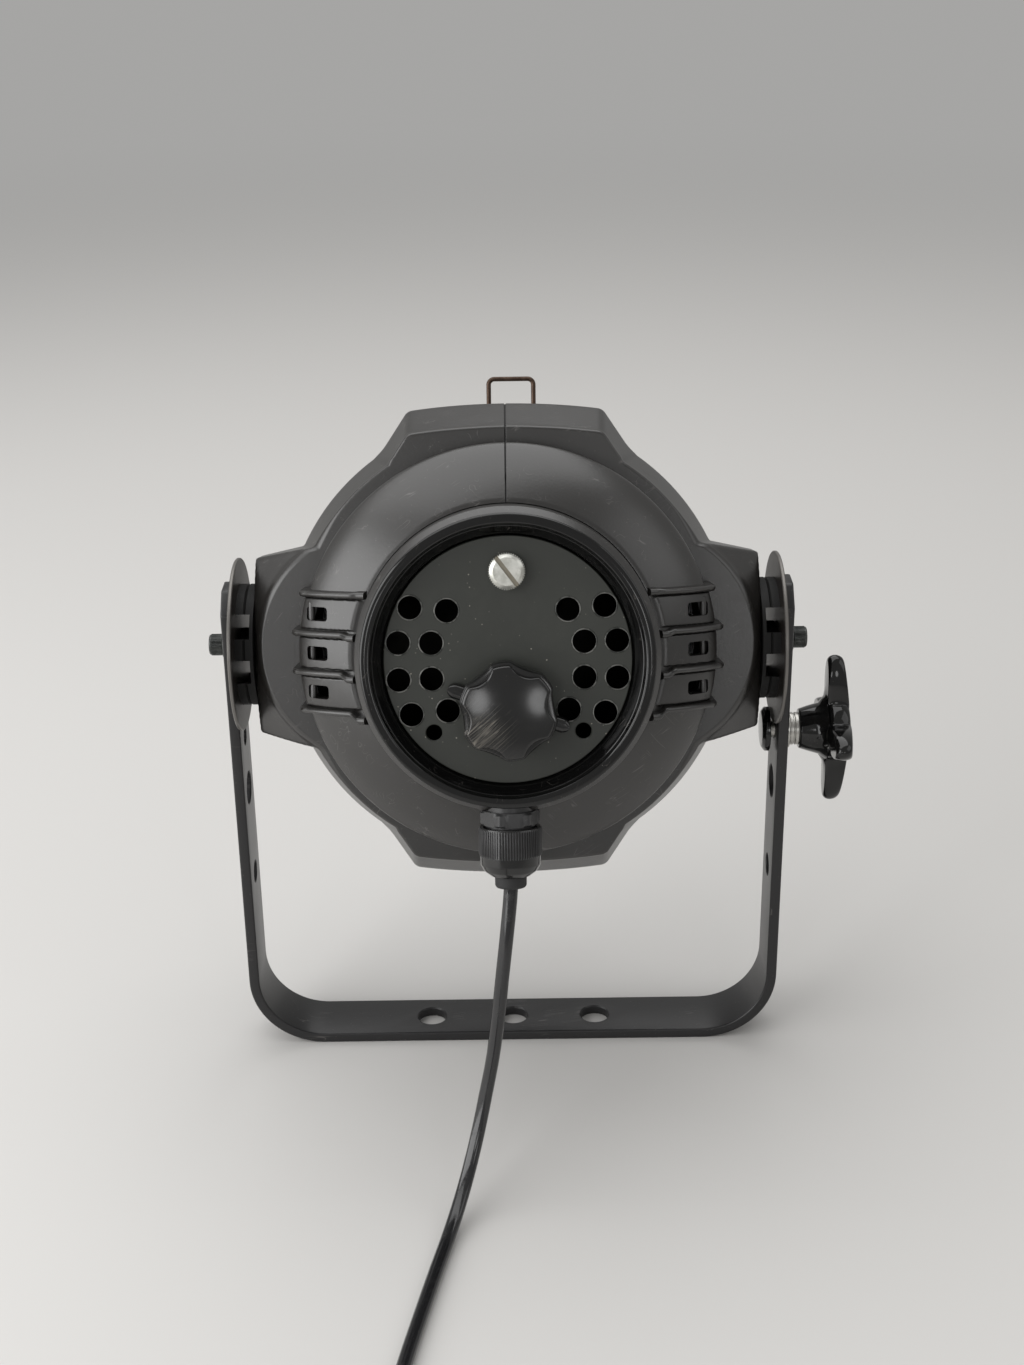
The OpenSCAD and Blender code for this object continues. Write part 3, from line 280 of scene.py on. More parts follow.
casting_paint, split_paint = casting("casting paint", False), casting("split casting paint", True)

plate_paint = Finish("plate paint", (0.024, 0.026, 0.0215), 0.5)
blotch, grain = plate_paint.noise(35, 3.0, 0.6), plate_paint.noise(1400, 2.0)
dust = plate_paint.specks(330).most(plate_paint.specks(190, 0.06))
film = plate_paint.patches(55, 0.5, 0.78, 4.0, 0.65)
coat = plate_paint.blend(blotch, (0.020, 0.022, 0.018), (0.028, 0.030, 0.025))
coat = plate_paint.blend(0.2 * film, coat, (0.065, 0.066, 0.058))
coat = plate_paint.blend(0.8 * dust, coat, (0.36, 0.34, 0.29))
plate_paint.set(Base_Color=coat, Roughness=0.42 + 0.1 * blotch + 0.12 * film)
plate_paint.bump(grain + 0.4 * blotch, 0.04 * MM, 0.6)

plate_edge = Finish("rubbed plate edge", (0.06, 0.063, 0.06), 0.28)
worn = plate_edge.patches(240, 0.42, 0.64, 3.0, 0.5)
coat = plate_edge.blend(worn, (0.022, 0.024, 0.021), (0.17, 0.17, 0.16))
plate_edge.set(Base_Color=coat, Metallic=0.6 * worn, Roughness=0.22 + 0.16 * worn)
plate_edge.bump(worn, 0.04 * MM)

yoke_paint = Finish("yoke paint", (0.012, 0.012, 0.013), 0.34)
peel, blotch = yoke_paint.noise(900, 2.0), yoke_paint.noise(18, 3.0)
scratches, dust = yoke_paint.hairlines(380, (0, 90, 10), 0.02), yoke_paint.specks(480, 0.13)
coat = yoke_paint.blend(blotch, (0.010, 0.010, 0.011), (0.016, 0.0155, 0.016))
coat = yoke_paint.blend((0.35 * scratches).most(0.35 * dust), coat, SCRATCHED)
yoke_paint.set(Base_Color=coat, Roughness=0.28 + 0.12 * blotch)
yoke_paint.bump(peel + 0.4 * blotch - 0.5 * scratches, 0.05 * MM, 0.7)

GLOSS = (0.004, 0.004, 0.004)
gloss_black = Finish("gloss black", GLOSS, 0.10, Coat_Roughness=0.03, Specular_IOR_Level=0.4)
smear, dust = gloss_black.patches(40, 0.50, 0.80, 4.0, 0.65), gloss_black.specks(420, 0.10)
scratches = gloss_black.hairlines(520, (0, 35, 0), 0.02)
coat = gloss_black.blend((0.3 * dust).most(0.2 * scratches), GLOSS, (0.24, 0.22, 0.20))
gloss_black.set(Base_Color=coat, Roughness=0.08 + 0.08 * smear + 0.3 * dust, Coat_Weight=0.2 - 0.1 * smear)
gloss_black.bump(gloss_black.noise(120, 2.0) - 0.3 * scratches, 0.02 * MM, 0.5)
print("paints:", len(bpy.data.materials))

# %% [markdown]
# The plastics: glossy moulded black for what is gripped, ribbed nylon for the gland,
# matte black for the drums, soft black vinyl for the lead, and rubber. The knob's face is
# worn and scratched on one side, where fingers push it round: a soft round mask on Object
# coordinates keeps the scratches there.

# %% Plastics and rubber
WORN_SPOT = LANTERN @ Vector((-10, -103, -29))
MOULDED = (0.005, 0.005, 0.005)

moulded = Finish("moulded black", MOULDED, 0.12, Coat_Roughness=0.12)
flow, smear = moulded.noise(70, 2.0), moulded.patches(55, 0.50, 0.74, 4.0)
worn, dust = moulded.near(*WORN_SPOT, 3.5, 11), moulded.specks(520, 0.09)
fine = moulded.hairlines(1300, (-17, 50, 0), 0.04, worn, 30)
fine = fine.most(moulded.hairlines(1900, (-17, 46, 0), 0.035, worn, 30))
deep = moulded.hairlines(620, (-17, 48, 0), 0.02, moulded.near(*WORN_SPOT, 6, 16), 30)
coat = moulded.blend((0.16 * smear).most(0.3 * worn), MOULDED, (0.030, 0.028, 0.024))
coat = moulded.blend((0.45 * fine).most(0.6 * deep).most(0.25 * dust), coat, (0.22, 0.20, 0.17))
moulded.set(Base_Color=coat, Roughness=0.16 + 0.10 * smear + 0.12 * worn + 0.2 * fine,
            Coat_Weight=0.25 - 0.2 * worn)
moulded.bump(0.4 * flow - 0.5 * deep - 0.25 * fine, 0.03 * MM, 0.6)


def plastic(name, dark, light, mottle, rough, depth, grain=None, strength=0.6, scuffs=0, dust=0, **fixed):
    """A dull plastic. mottle and grain are noises: one mixes the colours, the other is the relief.
    rough is (least, added by the mottle). With scuffs, the mottle is patches of that strength."""
    finish = Finish(name, dark, rough[0], **fixed)
    tone = finish.patches(mottle[0], 0.54, 0.74) if scuffs else finish.noise(*mottle)
    coat = finish.blend(scuffs * tone if scuffs else tone, dark, light)
    if dust:
        coat = finish.blend(0.35 * finish.specks(dust), coat, DUST)
    finish.set(Base_Color=coat, Roughness=rough[0] + rough[1] * tone)
    finish.bump(finish.noise(*grain) if grain else tone, depth * MM, strength)
    return finish


nylon = plastic("gland nylon", (0.022, 0.022, 0.023), (0.036, 0.036, 0.037), (160, 3.0),
                (0.24, 0.12), 0.03, dust=600)
natural_nylon = plastic("natural nylon", (0.55, 0.52, 0.43), (0.66, 0.63, 0.54), (220, 3.0),
                        (0.36, 0.14), 0.04)
soft_black = plastic("soft black plastic", (0.011, 0.011, 0.012), (0.055, 0.053, 0.05), (90,),
                     (0.33, 0.2), 0.05, (700, 2.0), scuffs=0.3, dust=600)
rubber = plastic("black rubber", (0.010, 0.010, 0.010), (0.026, 0.026, 0.027), (90, 4.0),
                 (0.6, 0.2), 0.1, (1100, 3.0, 0.7), 0.7)
drum_plastic = plastic("drum plastic", (0.0045, 0.0045, 0.0045), (0.009, 0.0088, 0.0085), (60, 3.0),
                       (0.50, 0.16), 0.05, (800, 2.0), 0.7, Specular_IOR_Level=0.25)

vinyl = Finish("lead vinyl", (0.010, 0.010, 0.011), 0.2, Coat_Roughness=0.1)
scuff = vinyl.patches(180, 0.54, 0.74)
coat = vinyl.blend(0.22 * scuff, (0.009, 0.009, 0.010), (0.045, 0.044, 0.042))
coat = vinyl.blend(0.35 * vinyl.specks(700), coat, DUST)
vinyl.set(Base_Color=coat, Roughness=0.15 + 0.2 * scuff, Coat_Weight=0.3 - 0.2 * scuff)
vinyl.bump(vinyl.noise(45, 2.0) + 0.3 * scuff, 0.1 * MM, 0.6)
print("with plastics:", len(bpy.data.materials))

# %% [markdown]
# The metals: zinc for the screw, turned steel, blackened bolts, the brown brake discs,
# spring wire, plated pins, bright reflector sheet and bare aluminium.

# %% Metals
def metal(name, dark, light, rough, scale=90, streak=None, metallic=1.0):
    """A metal with cloudy colour, and streaks where a (scale, stretch) is given."""
    finish = Finish(name, dark, rough)
    cloud = finish.noise(scale, 4.0, 0.6)
    if streak:
        grain = finish.noise(streak[0], 2.0, 0.5, finish.turned((0, 0, 0), streak[1]))
    else:
        grain = finish.noise(1600, 2.0)
    mixed = finish.ramp(0.6 * cloud + 0.4 * grain, 0.36, 0.64)
    finish.set(Base_Color=finish.blend(mixed, dark, light), Metallic=metallic,
               Roughness=rough - 0.06 + 0.12 * grain + 0.08 * cloud)
    finish.bump(grain + 0.3 * cloud, 0.03 * MM, 0.7)
    return finish


SLOT_TURN, SCREW_HEAD_Y, SCREW_UP = 53, -87.6, 37.7
SLOT_PLACE = LANTERN @ at(0, SCREW_HEAD_Y, SCREW_UP) @ spin(SLOT_TURN, "Y")

zinc = Finish("scratched zinc", (0.62, 0.62, 0.58), 0.36)
cloud, pits = zinc.noise(260, 4.0, 0.6), zinc.patches(700, 0.66, 0.72, 4.0)
marks = zinc.hairlines(1100, (0, -38, 0), 0.06).most(zinc.hairlines(1400, (0, 24, 0), 0.05))
coat = zinc.blend(zinc.ramp(cloud, 0.38, 0.62), (0.54, 0.54, 0.495), (0.70, 0.70, 0.655))
coat = zinc.blend(0.45 * marks, coat, (0.86, 0.85, 0.81))
# Painted shade and grime: the floor and lower walls of the slot are painted dark brown.
in_slot = zinc.turned([math.degrees(a) for a in SLOT_PLACE.to_euler()], middle=SLOT_PLACE.translation)
grime_and_shade = zinc.ramp(zinc.along("Y", in_slot), 0.6 * MM, 1.2 * MM)
grime_and_shade = grime_and_shade * (1 - zinc.ramp(abs(zinc.along("Z", in_slot)), 0.9 * MM, 1.1 * MM))
coat = zinc.blend(0.8 * grime_and_shade, coat, (0.20, 0.17, 0.12))
zinc.set(Base_Color=zinc.blend(0.7 * pits, coat, (0.14, 0.12, 0.09)), Metallic=0.85,
         Roughness=0.32 + 0.2 * pits + 0.1 * marks)
zinc.bump(cloud - 0.5 * marks - pits, 0.03 * MM, 0.7)

turned_steel = metal("turned steel", (0.36, 0.35, 0.33), (0.58, 0.57, 0.54), 0.27, 120, (900, (0.17, 1, 1)))
bolt_black = metal("blackened steel", (0.045, 0.047, 0.046), (0.11, 0.114, 0.11), 0.32, 260)
disc_brown = metal("brake disc", (0.038, 0.033, 0.030), (0.072, 0.063, 0.057), 0.36, 70,
                   (700, (1, 1, 0.2)), 0.75)
wire_brown = metal("spring wire", (0.045, 0.027, 0.019), (0.10, 0.066, 0.048), 0.36, 300, metallic=0.8)
pin_plate = metal("plated pins", (0.60, 0.58, 0.53), (0.78, 0.76, 0.71), 0.24, 250)
mirror = metal("reflector sheet", (0.72, 0.73, 0.74), (0.86, 0.87, 0.88), 0.16, 60, (600, (1, 0.12, 1)))
aluminium = metal("bare aluminium", (0.42, 0.42, 0.42), (0.60, 0.60, 0.59), 0.36, 110, (1000, (1, 1, 0.11)))
print("with metals:", len(bpy.data.materials))

# %% Glass and ceramic
ceramic = Finish("ceramic", (0.74, 0.71, 0.64), 0.45)
stain, pits = ceramic.noise(120, 4.0), ceramic.specks(900, 0.2)
coat = ceramic.blend(stain, (0.68, 0.65, 0.58), (0.80, 0.78, 0.72))
coat = ceramic.blend(0.5 * pits, coat, (0.35, 0.31, 0.25))
ceramic.set(Base_Color=coat, Roughness=0.4 + 0.15 * stain)
ceramic.bump(stain - 0.4 * pits, 0.08 * MM, 0.6)

lens_glass = Finish("lens glass", (0.93, 0.96, 0.96), 0.04, Transmission_Weight=1.0, IOR=1.52)
haze, dust = lens_glass.patches(30, 0.5, 0.8, 4.0, 0.6), lens_glass.specks(300, 0.06)
lens_glass.set(Roughness=0.02 + 0.10 * haze + 0.3 * dust)
lens_glass.bump(lens_glass.noise(60, 2.0), 0.05 * MM, 0.4)

lamp_glass = Finish("quartz", (0.96, 0.97, 0.98), 0.03, Transmission_Weight=1.0, IOR=1.46)
lamp_glass.set(Roughness=0.02 + 0.12 * lamp_glass.patches(90, 0.5, 0.8, 3.0, 0.5))
lamp_glass.bump(lamp_glass.noise(90, 2.0), 0.06 * MM, 0.4)
print("finishes in all:", len(bpy.data.materials))

# %% [markdown]
# Nearly every piece here is a stack of rings: a turned part, a bent strap, a cord. `loft`
# skins such a stack. `rounded` puts an arc on each corner of an outline, because a real
# casting or moulding has no knife edges, and those small arcs catch the light.

# %% Shape helpers
def loft(rings, ends="cap"):
    """Vertices and faces over an (n, m, 3) stack of closed rings. ends: cap, or loop to join last to first."""
    rings = np.asarray(rings, float)
    n, m, _ = rings.shape
    rows = n if ends == "loop" else n - 1
    faces = [(i * m + k, i * m + (k + 1) % m, (i + 1) % n * m + (k + 1) % m, (i + 1) % n * m + k)
             for i in range(rows) for k in range(m)]
    if ends == "cap":
        faces += [tuple(range(m))[::-1], tuple(range((n - 1) * m, n * m))]
    return rings.reshape(-1, 3), faces


def rounded(corners, steps=4):
    """Outline from (u, v, radius) corners, closed, with an arc at each corner that has a radius."""
    points = []
    for i, (u, v, radius) in enumerate(corners):
        here = Vector((u, v))
        back = Vector(corners[i - 1][:2]) - here
        on = Vector(corners[(i + 1) % len(corners)][:2]) - here
        if radius <= 0:
            points.append(here)
            continue
        half = back.angle(on) / 2
        cut = min(radius / math.tan(half), 0.49 * back.length, 0.49 * on.length)
        reach = cut * math.tan(half)
        middle = here + (back.normalized() + on.normalized()).normalized() * (reach / math.sin(half))
        first, last = here + back.normalized() * cut - middle, here + on.normalized() * cut - middle
        sweep = first.angle_signed(last) if first.length > 0 else 0
        for s in range(steps + 1):
            points.append(middle + Matrix.Rotation(-sweep * s / steps, 2) @ first)
    return [(p.x, p.y) for p in points]


def box(u0, v0, u1, v1, radius):
    """The corners of a rectangle, for `rounded`."""
    return [(u0, v0, radius), (u1, v0, radius), (u1, v1, radius), (u0, v1, radius)]


def lathe(outline, steps=128, arcs=4):
    """Turns a closed outline about Y: (radius, y) points, or (radius, y, arc) corners to be rounded."""
    if len(outline[0]) == 3:
        outline = rounded(outline, arcs)
    turn = np.linspace(0, 2 * math.pi, steps, endpoint=False)
    r, y = np.array(outline, float).T
    rings = np.stack([np.outer(np.cos(turn), r), np.broadcast_to(y, (steps, len(y))),
                      np.outer(np.sin(turn), r)], axis=-1)
    return loft(rings, ends="loop")


def circle_outline(radius, steps, start=0.0):
    turns = [start + 2 * math.pi * k / steps for k in range(steps)]
    return [(radius * math.cos(a), radius * math.sin(a)) for a in turns]


def clean(mesh, sharp=35):
    """Merges doubles, points the faces outwards and shades smooth except at real edges."""
    bm = bmesh.new()
    bm.from_mesh(mesh)
    bmesh.ops.remove_doubles(bm, verts=bm.verts, dist=1e-6)
    bmesh.ops.dissolve_degenerate(bm, edges=bm.edges, dist=1e-7)
    bmesh.ops.recalc_face_normals(bm, faces=bm.faces)
    bm.to_mesh(mesh)
    bm.free()
    mesh.shade_smooth()
    mesh.set_sharp_from_angle(angle=math.radians(sharp))


def link(name, mesh):
    piece = bpy.data.objects.new(name, mesh)
    bpy.context.scene.collection.objects.link(piece)
    return piece


def shape(name, parts, place=PLAIN, sharp=35):
    """One mesh object, in metres in the frame, from a list of (vertices, faces) in millimetres."""
    vertices, faces = [], []
    for part_vertices, part_faces in parts:
        first = len(vertices)
        vertices += [Vector(v) for v in part_vertices]
        faces += [tuple(first + k for k in face) for face in part_faces]
    mesh = bpy.data.meshes.new(name)
    mesh.from_pydata([(place @ v) * MM for v in vertices], [], faces)
    clean(mesh, sharp)
    return link(name, mesh)


def moved(part, place):
    vertices, faces = part
    return [place @ Vector(v) for v in vertices], faces


def dress(piece, body, finish, slot, *stands_for):
    """Gives a piece its finish and lets it ride on a body, in place of the CAD nodes it stands for."""
    piece.data.materials.clear()
    piece.data.materials.append(finish.material)
    if stands_for:
        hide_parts(*stands_for)
    if body:
        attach(piece, body)
    print(piece.name, "has", len(piece.data.polygons), "faces")
    return piece


def made(name, part, place, body, finish, slot, sharp=35):
    """One part as a dressed piece, in place of the CAD node of the same name."""
    return dress(shape(name, [part], place, sharp), body, finish, slot, name)


def paint(finish, *nodes):
    """Gives a finish to CAD solids that stay as they are."""
    for node in nodes:
        materials = frame["nodes"][node].data.materials
        materials.clear()
        materials.append(finish.material)
    print(finish.material.name, "on", ", ".join(nodes))


print("a coin from four corners has", len(lathe([(0, 0, 0), (9, 0, 1), (9, 2, 1), (0, 2, 0)])[0]), "points")

# %% [markdown]
# What repeats, such as the ribs of a nut or the rims of the vents, is drawn once and
# copied by Geometry Nodes. The tree has named inputs: the places, the part and its
# finish. Each place is a point with a stored turn. The result is turned into a plain mesh
# and the modifier is taken off again.

# %% Copies by Geometry Nodes
def copies_tree():
    group = bpy.data.node_groups.new("copies", "GeometryNodeTree")
    for label, kind in (("Places", "Geometry"), ("Part", "Object"), ("Finish", "Material")):
        group.interface.new_socket(label, in_out="INPUT", socket_type="NodeSocket" + kind)
    group.interface.new_socket("Copies", in_out="OUTPUT", socket_type="NodeSocketGeometry")
    tree = Tree(group)
    places, part, finish = (tree.add("NodeGroupInput", output=label) for label in ("Places", "Part", "Finish"))
    drawn = tree.add("GeometryNodeObjectInfo", {}, {"Object": part}, "Geometry")
    turn = tree.add("GeometryNodeInputNamedAttribute", {"data_type": "FLOAT_VECTOR"}, {"Name": "turn"})
    spread = tree.add("GeometryNodeInstanceOnPoints", {},
                      {"Points": places, "Instance": drawn, "Rotation": turn})
    whole = tree.add("GeometryNodeRealizeInstances", {}, {"Geometry": spread})
    finished = tree.add("GeometryNodeSetMaterial", {}, {"Geometry": whole, "Material": finish})
    tree.add("NodeGroupOutput", {}, {"Copies": finished}, None)
    return group


COPIES = copies_tree()


def settle(piece, sharp=35):
    """Makes what the modifiers show into the piece's own mesh."""
    bpy.context.view_layer.update()
    whole = piece.evaluated_get(bpy.context.evaluated_depsgraph_get())
    mesh = bpy.data.meshes.new_from_object(whole)
    piece.modifiers.clear()
    old, piece.data = piece.data, mesh
    bpy.data.meshes.remove(old)
    clean(piece.data, sharp)


def copied(name, part, places, place, body, finish, slot):
    """Dressed copies of a part in mm at (x, y, z, turn about Y in degrees) places, as one plain mesh."""
    drawn = shape(name + "_part", [part])
    points = bpy.data.meshes.new(name)
    points.from_pydata([Vector(p[:3]) * MM for p in places], [], [])
    turns = points.attributes.new("turn", "FLOAT_VECTOR", "POINT")
    for row, p in zip(turns.data, places):
        row.vector = (0, math.radians(p[3]), 0)
    piece = link(name, points)
    nodes = piece.modifiers.new("copies", "NODES")
    nodes.node_group = COPIES
    wanted = {"Part": drawn, "Finish": finish.material}
    for socket in COPIES.interface.items_tree:
        if socket.name in wanted:
            nodes[socket.identifier] = wanted[socket.name]
    settle(piece)
    piece.data.transform(Matrix.Translation(place.translation * MM) @ place.to_3x3().to_4x4())
    bpy.data.objects.remove(drawn)
    return dress(piece, body, finish, slot)


def around(count, radius, y=0.0):
    """Places evenly round the Y axis."""
    return [(radius * math.cos(math.radians(a)), y, radius * math.sin(math.radians(a)), -a)
            for a in np.linspace(0, 360, count, endpoint=False)]


def ridge(flank, crest, ends, sink=0.0):
    """A knurl's ridge along Y. flank: (height, half width) from the foot up; ends: (y, share of height)."""
    profile = flank + [(crest, 0)] + [(h, -w) for h, w in flank[::-1]]
    return loft([[(share * h - sink, y, w) for h, w in profile] for y, share in ends])


print("copies tree has", len(COPIES.nodes), "nodes")

# %% [markdown]
# The mains lead is a flat twin flex. It hangs from the gland, bends onto the table and
# runs back; the rest of it is a round coil with its plug. It is one smooth tube that
# follows one line, so that it has one length. The points are the CAD model's own. Turns
# of the coil follow a formula: spiral in on the table, climb, spiral out on top.

# %% The line of the lead
CABLE_W, CABLE_T = 6.6, 5.0
TABLE_Z = CABLE_T / 2
COIL_Z = TABLE_Z + 0.8
GLAND_BACK, GLAND_END = 77, 98.6
mouth = LANTERN @ Vector((0, -GLAND_BACK, -GLAND_END))
route = [Vector(p) for p in [
    mouth, (-0.7, mouth.y - 2.4, mouth.z - 8), (-2.4, -109.5, 117), (-4.4, -113, 100), (-6.4, -116, 82),
    (-8.9, -119, 64), (-12.4, -123, 46.5), (-16.2, -129, 30), (-20.6, -138.5, 16), (-25, -151, 7),
    (-29.4, -167, TABLE_Z + 0.4), (-33.3, -184, TABLE_Z), (-37.1, -202, TABLE_Z), (-41, -221, TABLE_Z),
    (-44.7, -240, TABLE_Z), (-47.5, -260, TABLE_Z + 0.1), (-49, -281, COIL_Z - 0.3), (-49.5, -302, COIL_Z)]]

COIL_TURNS, COIL_MEAN_R, COIL_RINGS = 4.25, 37, 36
COIL_STEP, COIL_LIFT = CABLE_W + 0.6, CABLE_T + 0.6
COIL_OUT_R = COIL_MEAN_R + COIL_STEP * COIL_TURNS / 4
COIL_MID = Vector((route[-1].x - COIL_OUT_R, route[-1].y - CABLE_W, COIL_Z))
TAIL_L, TAIL_STEPS, PLUG_R = 36, 12, 18


def smooth_line(path, steps):
    """A Catmull-Rom curve through the points."""
    ends = [2 * path[0] - path[1]] + path + [2 * path[-1] - path[-2]]
    line = []
    for a, b, c, d in zip(ends, ends[1:], ends[2:], ends[3:]):
        for s in range(steps):
            t = s / steps
            line.append(0.5 * (2 * b + (c - a) * t + (2 * a - 5 * b + 4 * c - d) * t ** 2
                               + (3 * b - a - 3 * c + d) * t ** 3))
    return line + [path[-1]]


def coil_point(turns):
    half = COIL_TURNS / 2
    r = COIL_OUT_R - COIL_STEP * (half - abs(turns - half))
    climb = min(max((turns - half + 0.25) / 0.5, 0), 1)
    angle = 2 * math.pi * turns
    lift = COIL_LIFT * climb ** 2 * (3 - 2 * climb)
    return COIL_MID + Vector((r * math.cos(angle), -r * math.sin(angle), lift))


def tail_point(share):
    """From the end of the coil, the lead rises to the height of the plug's axis."""
    rise = (PLUG_R - coil_end.z) * (1 - math.cos(math.pi * share)) / 2
    return coil_end + Vector((-CABLE_W - TAIL_L * share, 0, rise))


coil_line = [coil_point(i / COIL_RINGS) for i in range(int(COIL_TURNS * COIL_RINGS) + 1)]
coil_end = coil_line[-1]
tail_line = [tail_point(s / TAIL_STEPS) for s in range(TAIL_STEPS + 1)]
plug_place = tail_line[-1] + Vector((-CABLE_W, 0, 0))
lead_line = smooth_line(route, 4) + coil_line + tail_line + [plug_place]
lead_length = sum((b - a).length for a, b in zip(lead_line, lead_line[1:]))
print("the lead is", round(lead_length), "mm long")

# %% The lead
LEAD_SIDES = 16


def lead_ring(point, along):
    """A flattened round with a faint waist where its two cores lie side by side."""
    side = Vector((along.y, -along.x, 0)).normalized()
    lift = side.cross(along)
    ring = []
    for k in range(LEAD_SIDES):
        a = 2 * math.pi * (k + 0.5) / LEAD_SIDES
        waist = 1 - 0.05 * math.cos(a) ** 8 - 0.07 * math.sin(a) ** 12
        u, v = CABLE_W / 2 * math.cos(a) * waist, CABLE_T / 2 * math.sin(a) * waist
        ring.append(point + side * u + lift * v)
    return ring


first_way, last_way = LANTERN.to_3x3() @ Vector((0, 0, -1)), Vector((-1, 0, 0))
ways = [first_way] + [(b - a).normalized() for a, b in zip(lead_line, lead_line[2:])] + [last_way]
lead = shape("mains_lead", [loft([lead_ring(p, w) for p, w in zip(lead_line, ways)])], sharp=60)
print("the lead has", len(lead.data.polygons), "faces")

# %% [markdown]
# The housing is two castings, left and right. Seen along the lens axis, its edge is a
# round ring with a pad at the top and bottom and an ear at each side. So its outline can
# be written as one distance from the axis for each angle and depth: the largest of ring,
# pad and ear, with a soft join between them. That gives the fillets of a real casting
# for free, which stacking boxes and cylinders would not.

# %% Casting sizes
DOME_R, DOME_DEPTH, WALL = 91.2, 51.6, 3.0
CROWN_R, CROWN_DEPTH, DOME_CORNER = 96.5, 50.0, 1.0
OPENING_R, OPENING_LIP = 65.9, 0.5
FLANGE_HALF, FLANGE_R, RING_R = 27.5, 96.9, 103.6
PAD_HALF, PAD_REAR_H, PAD_MID_H, PAD_CROWN = 43.5, 95.0, 105.8, 3.0
EAR_X, EAR_H, EAR_FACE_R, EAR_MID_Z = 114.7, 40.5, 51.0, 1.0
EAR_SHOULDER_IN, EAR_SHOULDER_UP = 26, 5
RIB_PITCH, RIB_T, RIB_H, RIB_GAP = 17.1, 2.4, 4.2, 2.0
BARREL_SEAT_R, BARREL_SEAT_Y = 92.03, 13.5
SEAM_GAP, SEAM_DEPTH, SEAM_W = 0.003, 0.5, 0.45
REAR_SOFT, EAR_SOFT, EAR_BEVEL, FRONT_SOFT = 1.4, 3.0, 0.5, 1.2
FILLET, FAR = 2.5, 400.0


def softmax(a, b, reach):
    near = np.clip(reach - np.abs(a - b), 0, None) / reach
    return np.maximum(a, b) + near ** 2 * reach / 4


def softmin(a, b, reach):
    return -softmax(-a, -b, reach)


def step(value, low, high):
    t = np.clip((value - low) / (high - low), 0, 1)
    return t * t * (3 - 2 * t)


def plane_at(cos, sin, nx, nz, offset):
    """Distance along (cos, sin) to the line nx*x + nz*z = offset, or FAR where it is never met."""
    facing = nx * cos + nz * sin
    return np.where(facing > 0.02, offset / np.maximum(facing, 0.02), FAR)


def line_through(cos, sin, p, q):
    """The same, for the line through two points in order, with the material on its left."""
    nx, nz = q[1] - p[1], p[0] - q[0]
    length = np.hypot(nx, nz)
    return plane_at(cos, sin, nx / length, nz / length, (nx * p[0] + nz * p[1]) / length)


print("outline helpers ready")

# %% The edge of the casting, as a distance from the axis
def slope(y, at_rear, at_middle, at_front):
    """A size with draft to both sides of a short level stretch near the middle."""
    return np.interp(y, [-FLANGE_HALF, -1, 3, FLANGE_HALF], [at_rear, at_middle, at_middle, at_front])


def ring_edge(y):
    return slope(y, FLANGE_R, RING_R, FLANGE_R + 1)


def pad_edge(cos, sin, y):
    half = slope(y, PAD_HALF, PAD_HALF + 1, PAD_HALF)
    height = slope(y, PAD_REAR_H, PAD_MID_H, PAD_REAR_H)
    foot = 0.65 * (height - PAD_REAR_H) + 7.5
    cos, sin = np.abs(cos), np.abs(sin)
    top = plane_at(cos, sin, 0, 1, height)
    crown = PAD_CROWN * np.clip(1 - (top * cos / half) ** 2, 0, 1)
    top = plane_at(cos, sin, 0, 1, height + crown)
    side = line_through(cos, sin, (half + foot, height - 1.5 * foot), (half, height))
    inner = plane_at(cos, sin, 1, 0, half + foot)
    return softmin(softmin(top, side, 2.0), inner, 1.0)


def ear_edge(cos, sin, y):
    """Face, sloping top and root of the ear, cut off by a round whose radius grows towards the middle."""
    low, cos, high = sin, np.abs(cos), np.abs(sin)
    shoulder = (EAR_X - EAR_SHOULDER_IN, EAR_H + EAR_SHOULDER_UP)
    face = plane_at(cos, high, 1, 0, EAR_X)
    top = line_through(cos, high, (EAR_X - 1.5, EAR_H), shoulder)
    root = line_through(cos, high, shoulder, (60, EAR_H + 6.5))
    radius = EAR_FACE_R + np.interp(y, [-FLANGE_HALF, -24.5, -2, 4, FLANGE_HALF], [-1.6, 2.5, 22, 22, 0])
    mid_x = EAR_X - EAR_FACE_R - 4
    along = mid_x * cos + EAR_MID_Z * low
    across = np.clip(radius ** 2 - (mid_x ** 2 + EAR_MID_Z ** 2 - along ** 2), 0, None)
    return softmin(softmin(softmin(face, top, 2.0), root, 2.0), along + np.sqrt(across), 0.8)


def casting_edge(angle, y):
    cos, sin = np.cos(angle), np.sin(angle)
    edge = softmax(ring_edge(y), pad_edge(cos, sin, y), FILLET)
    return softmax(edge, ear_edge(cos, sin, y), FILLET)


for degrees in (0, 45, 90):
    edge = casting_edge(math.radians(degrees), np.array([-FLANGE_HALF, 0.0]))
    print(degrees, "degrees round:", np.round(edge, 1), "mm")

# %% [markdown]
# One closed section of the wall is worked out for each angle: up through the rear
# opening, over the dome, out across the flat rear face, along the edge, back across the
# front face and home along the inside. The sections, side by side, are the casting. The
# dome is an ellipse that stops in a tight corner at its side wall. The bays between the
# ribs stand a little proud, and the ears have a softer edge: both are in the section too.

# %% One section of the casting
EDGE_ROWS, ARC_ROWS, DOME_ROWS, INSIDE_ROWS = 28, 7, 32, 12
BAY_INNER_R, BAY_RISE = 66.8, 1.0
NICK_R, NICK_DEPTH, NICK_W = 76.5, 1.3, 1.2
CORNER_AT = math.asin(DOME_R / CROWN_R)


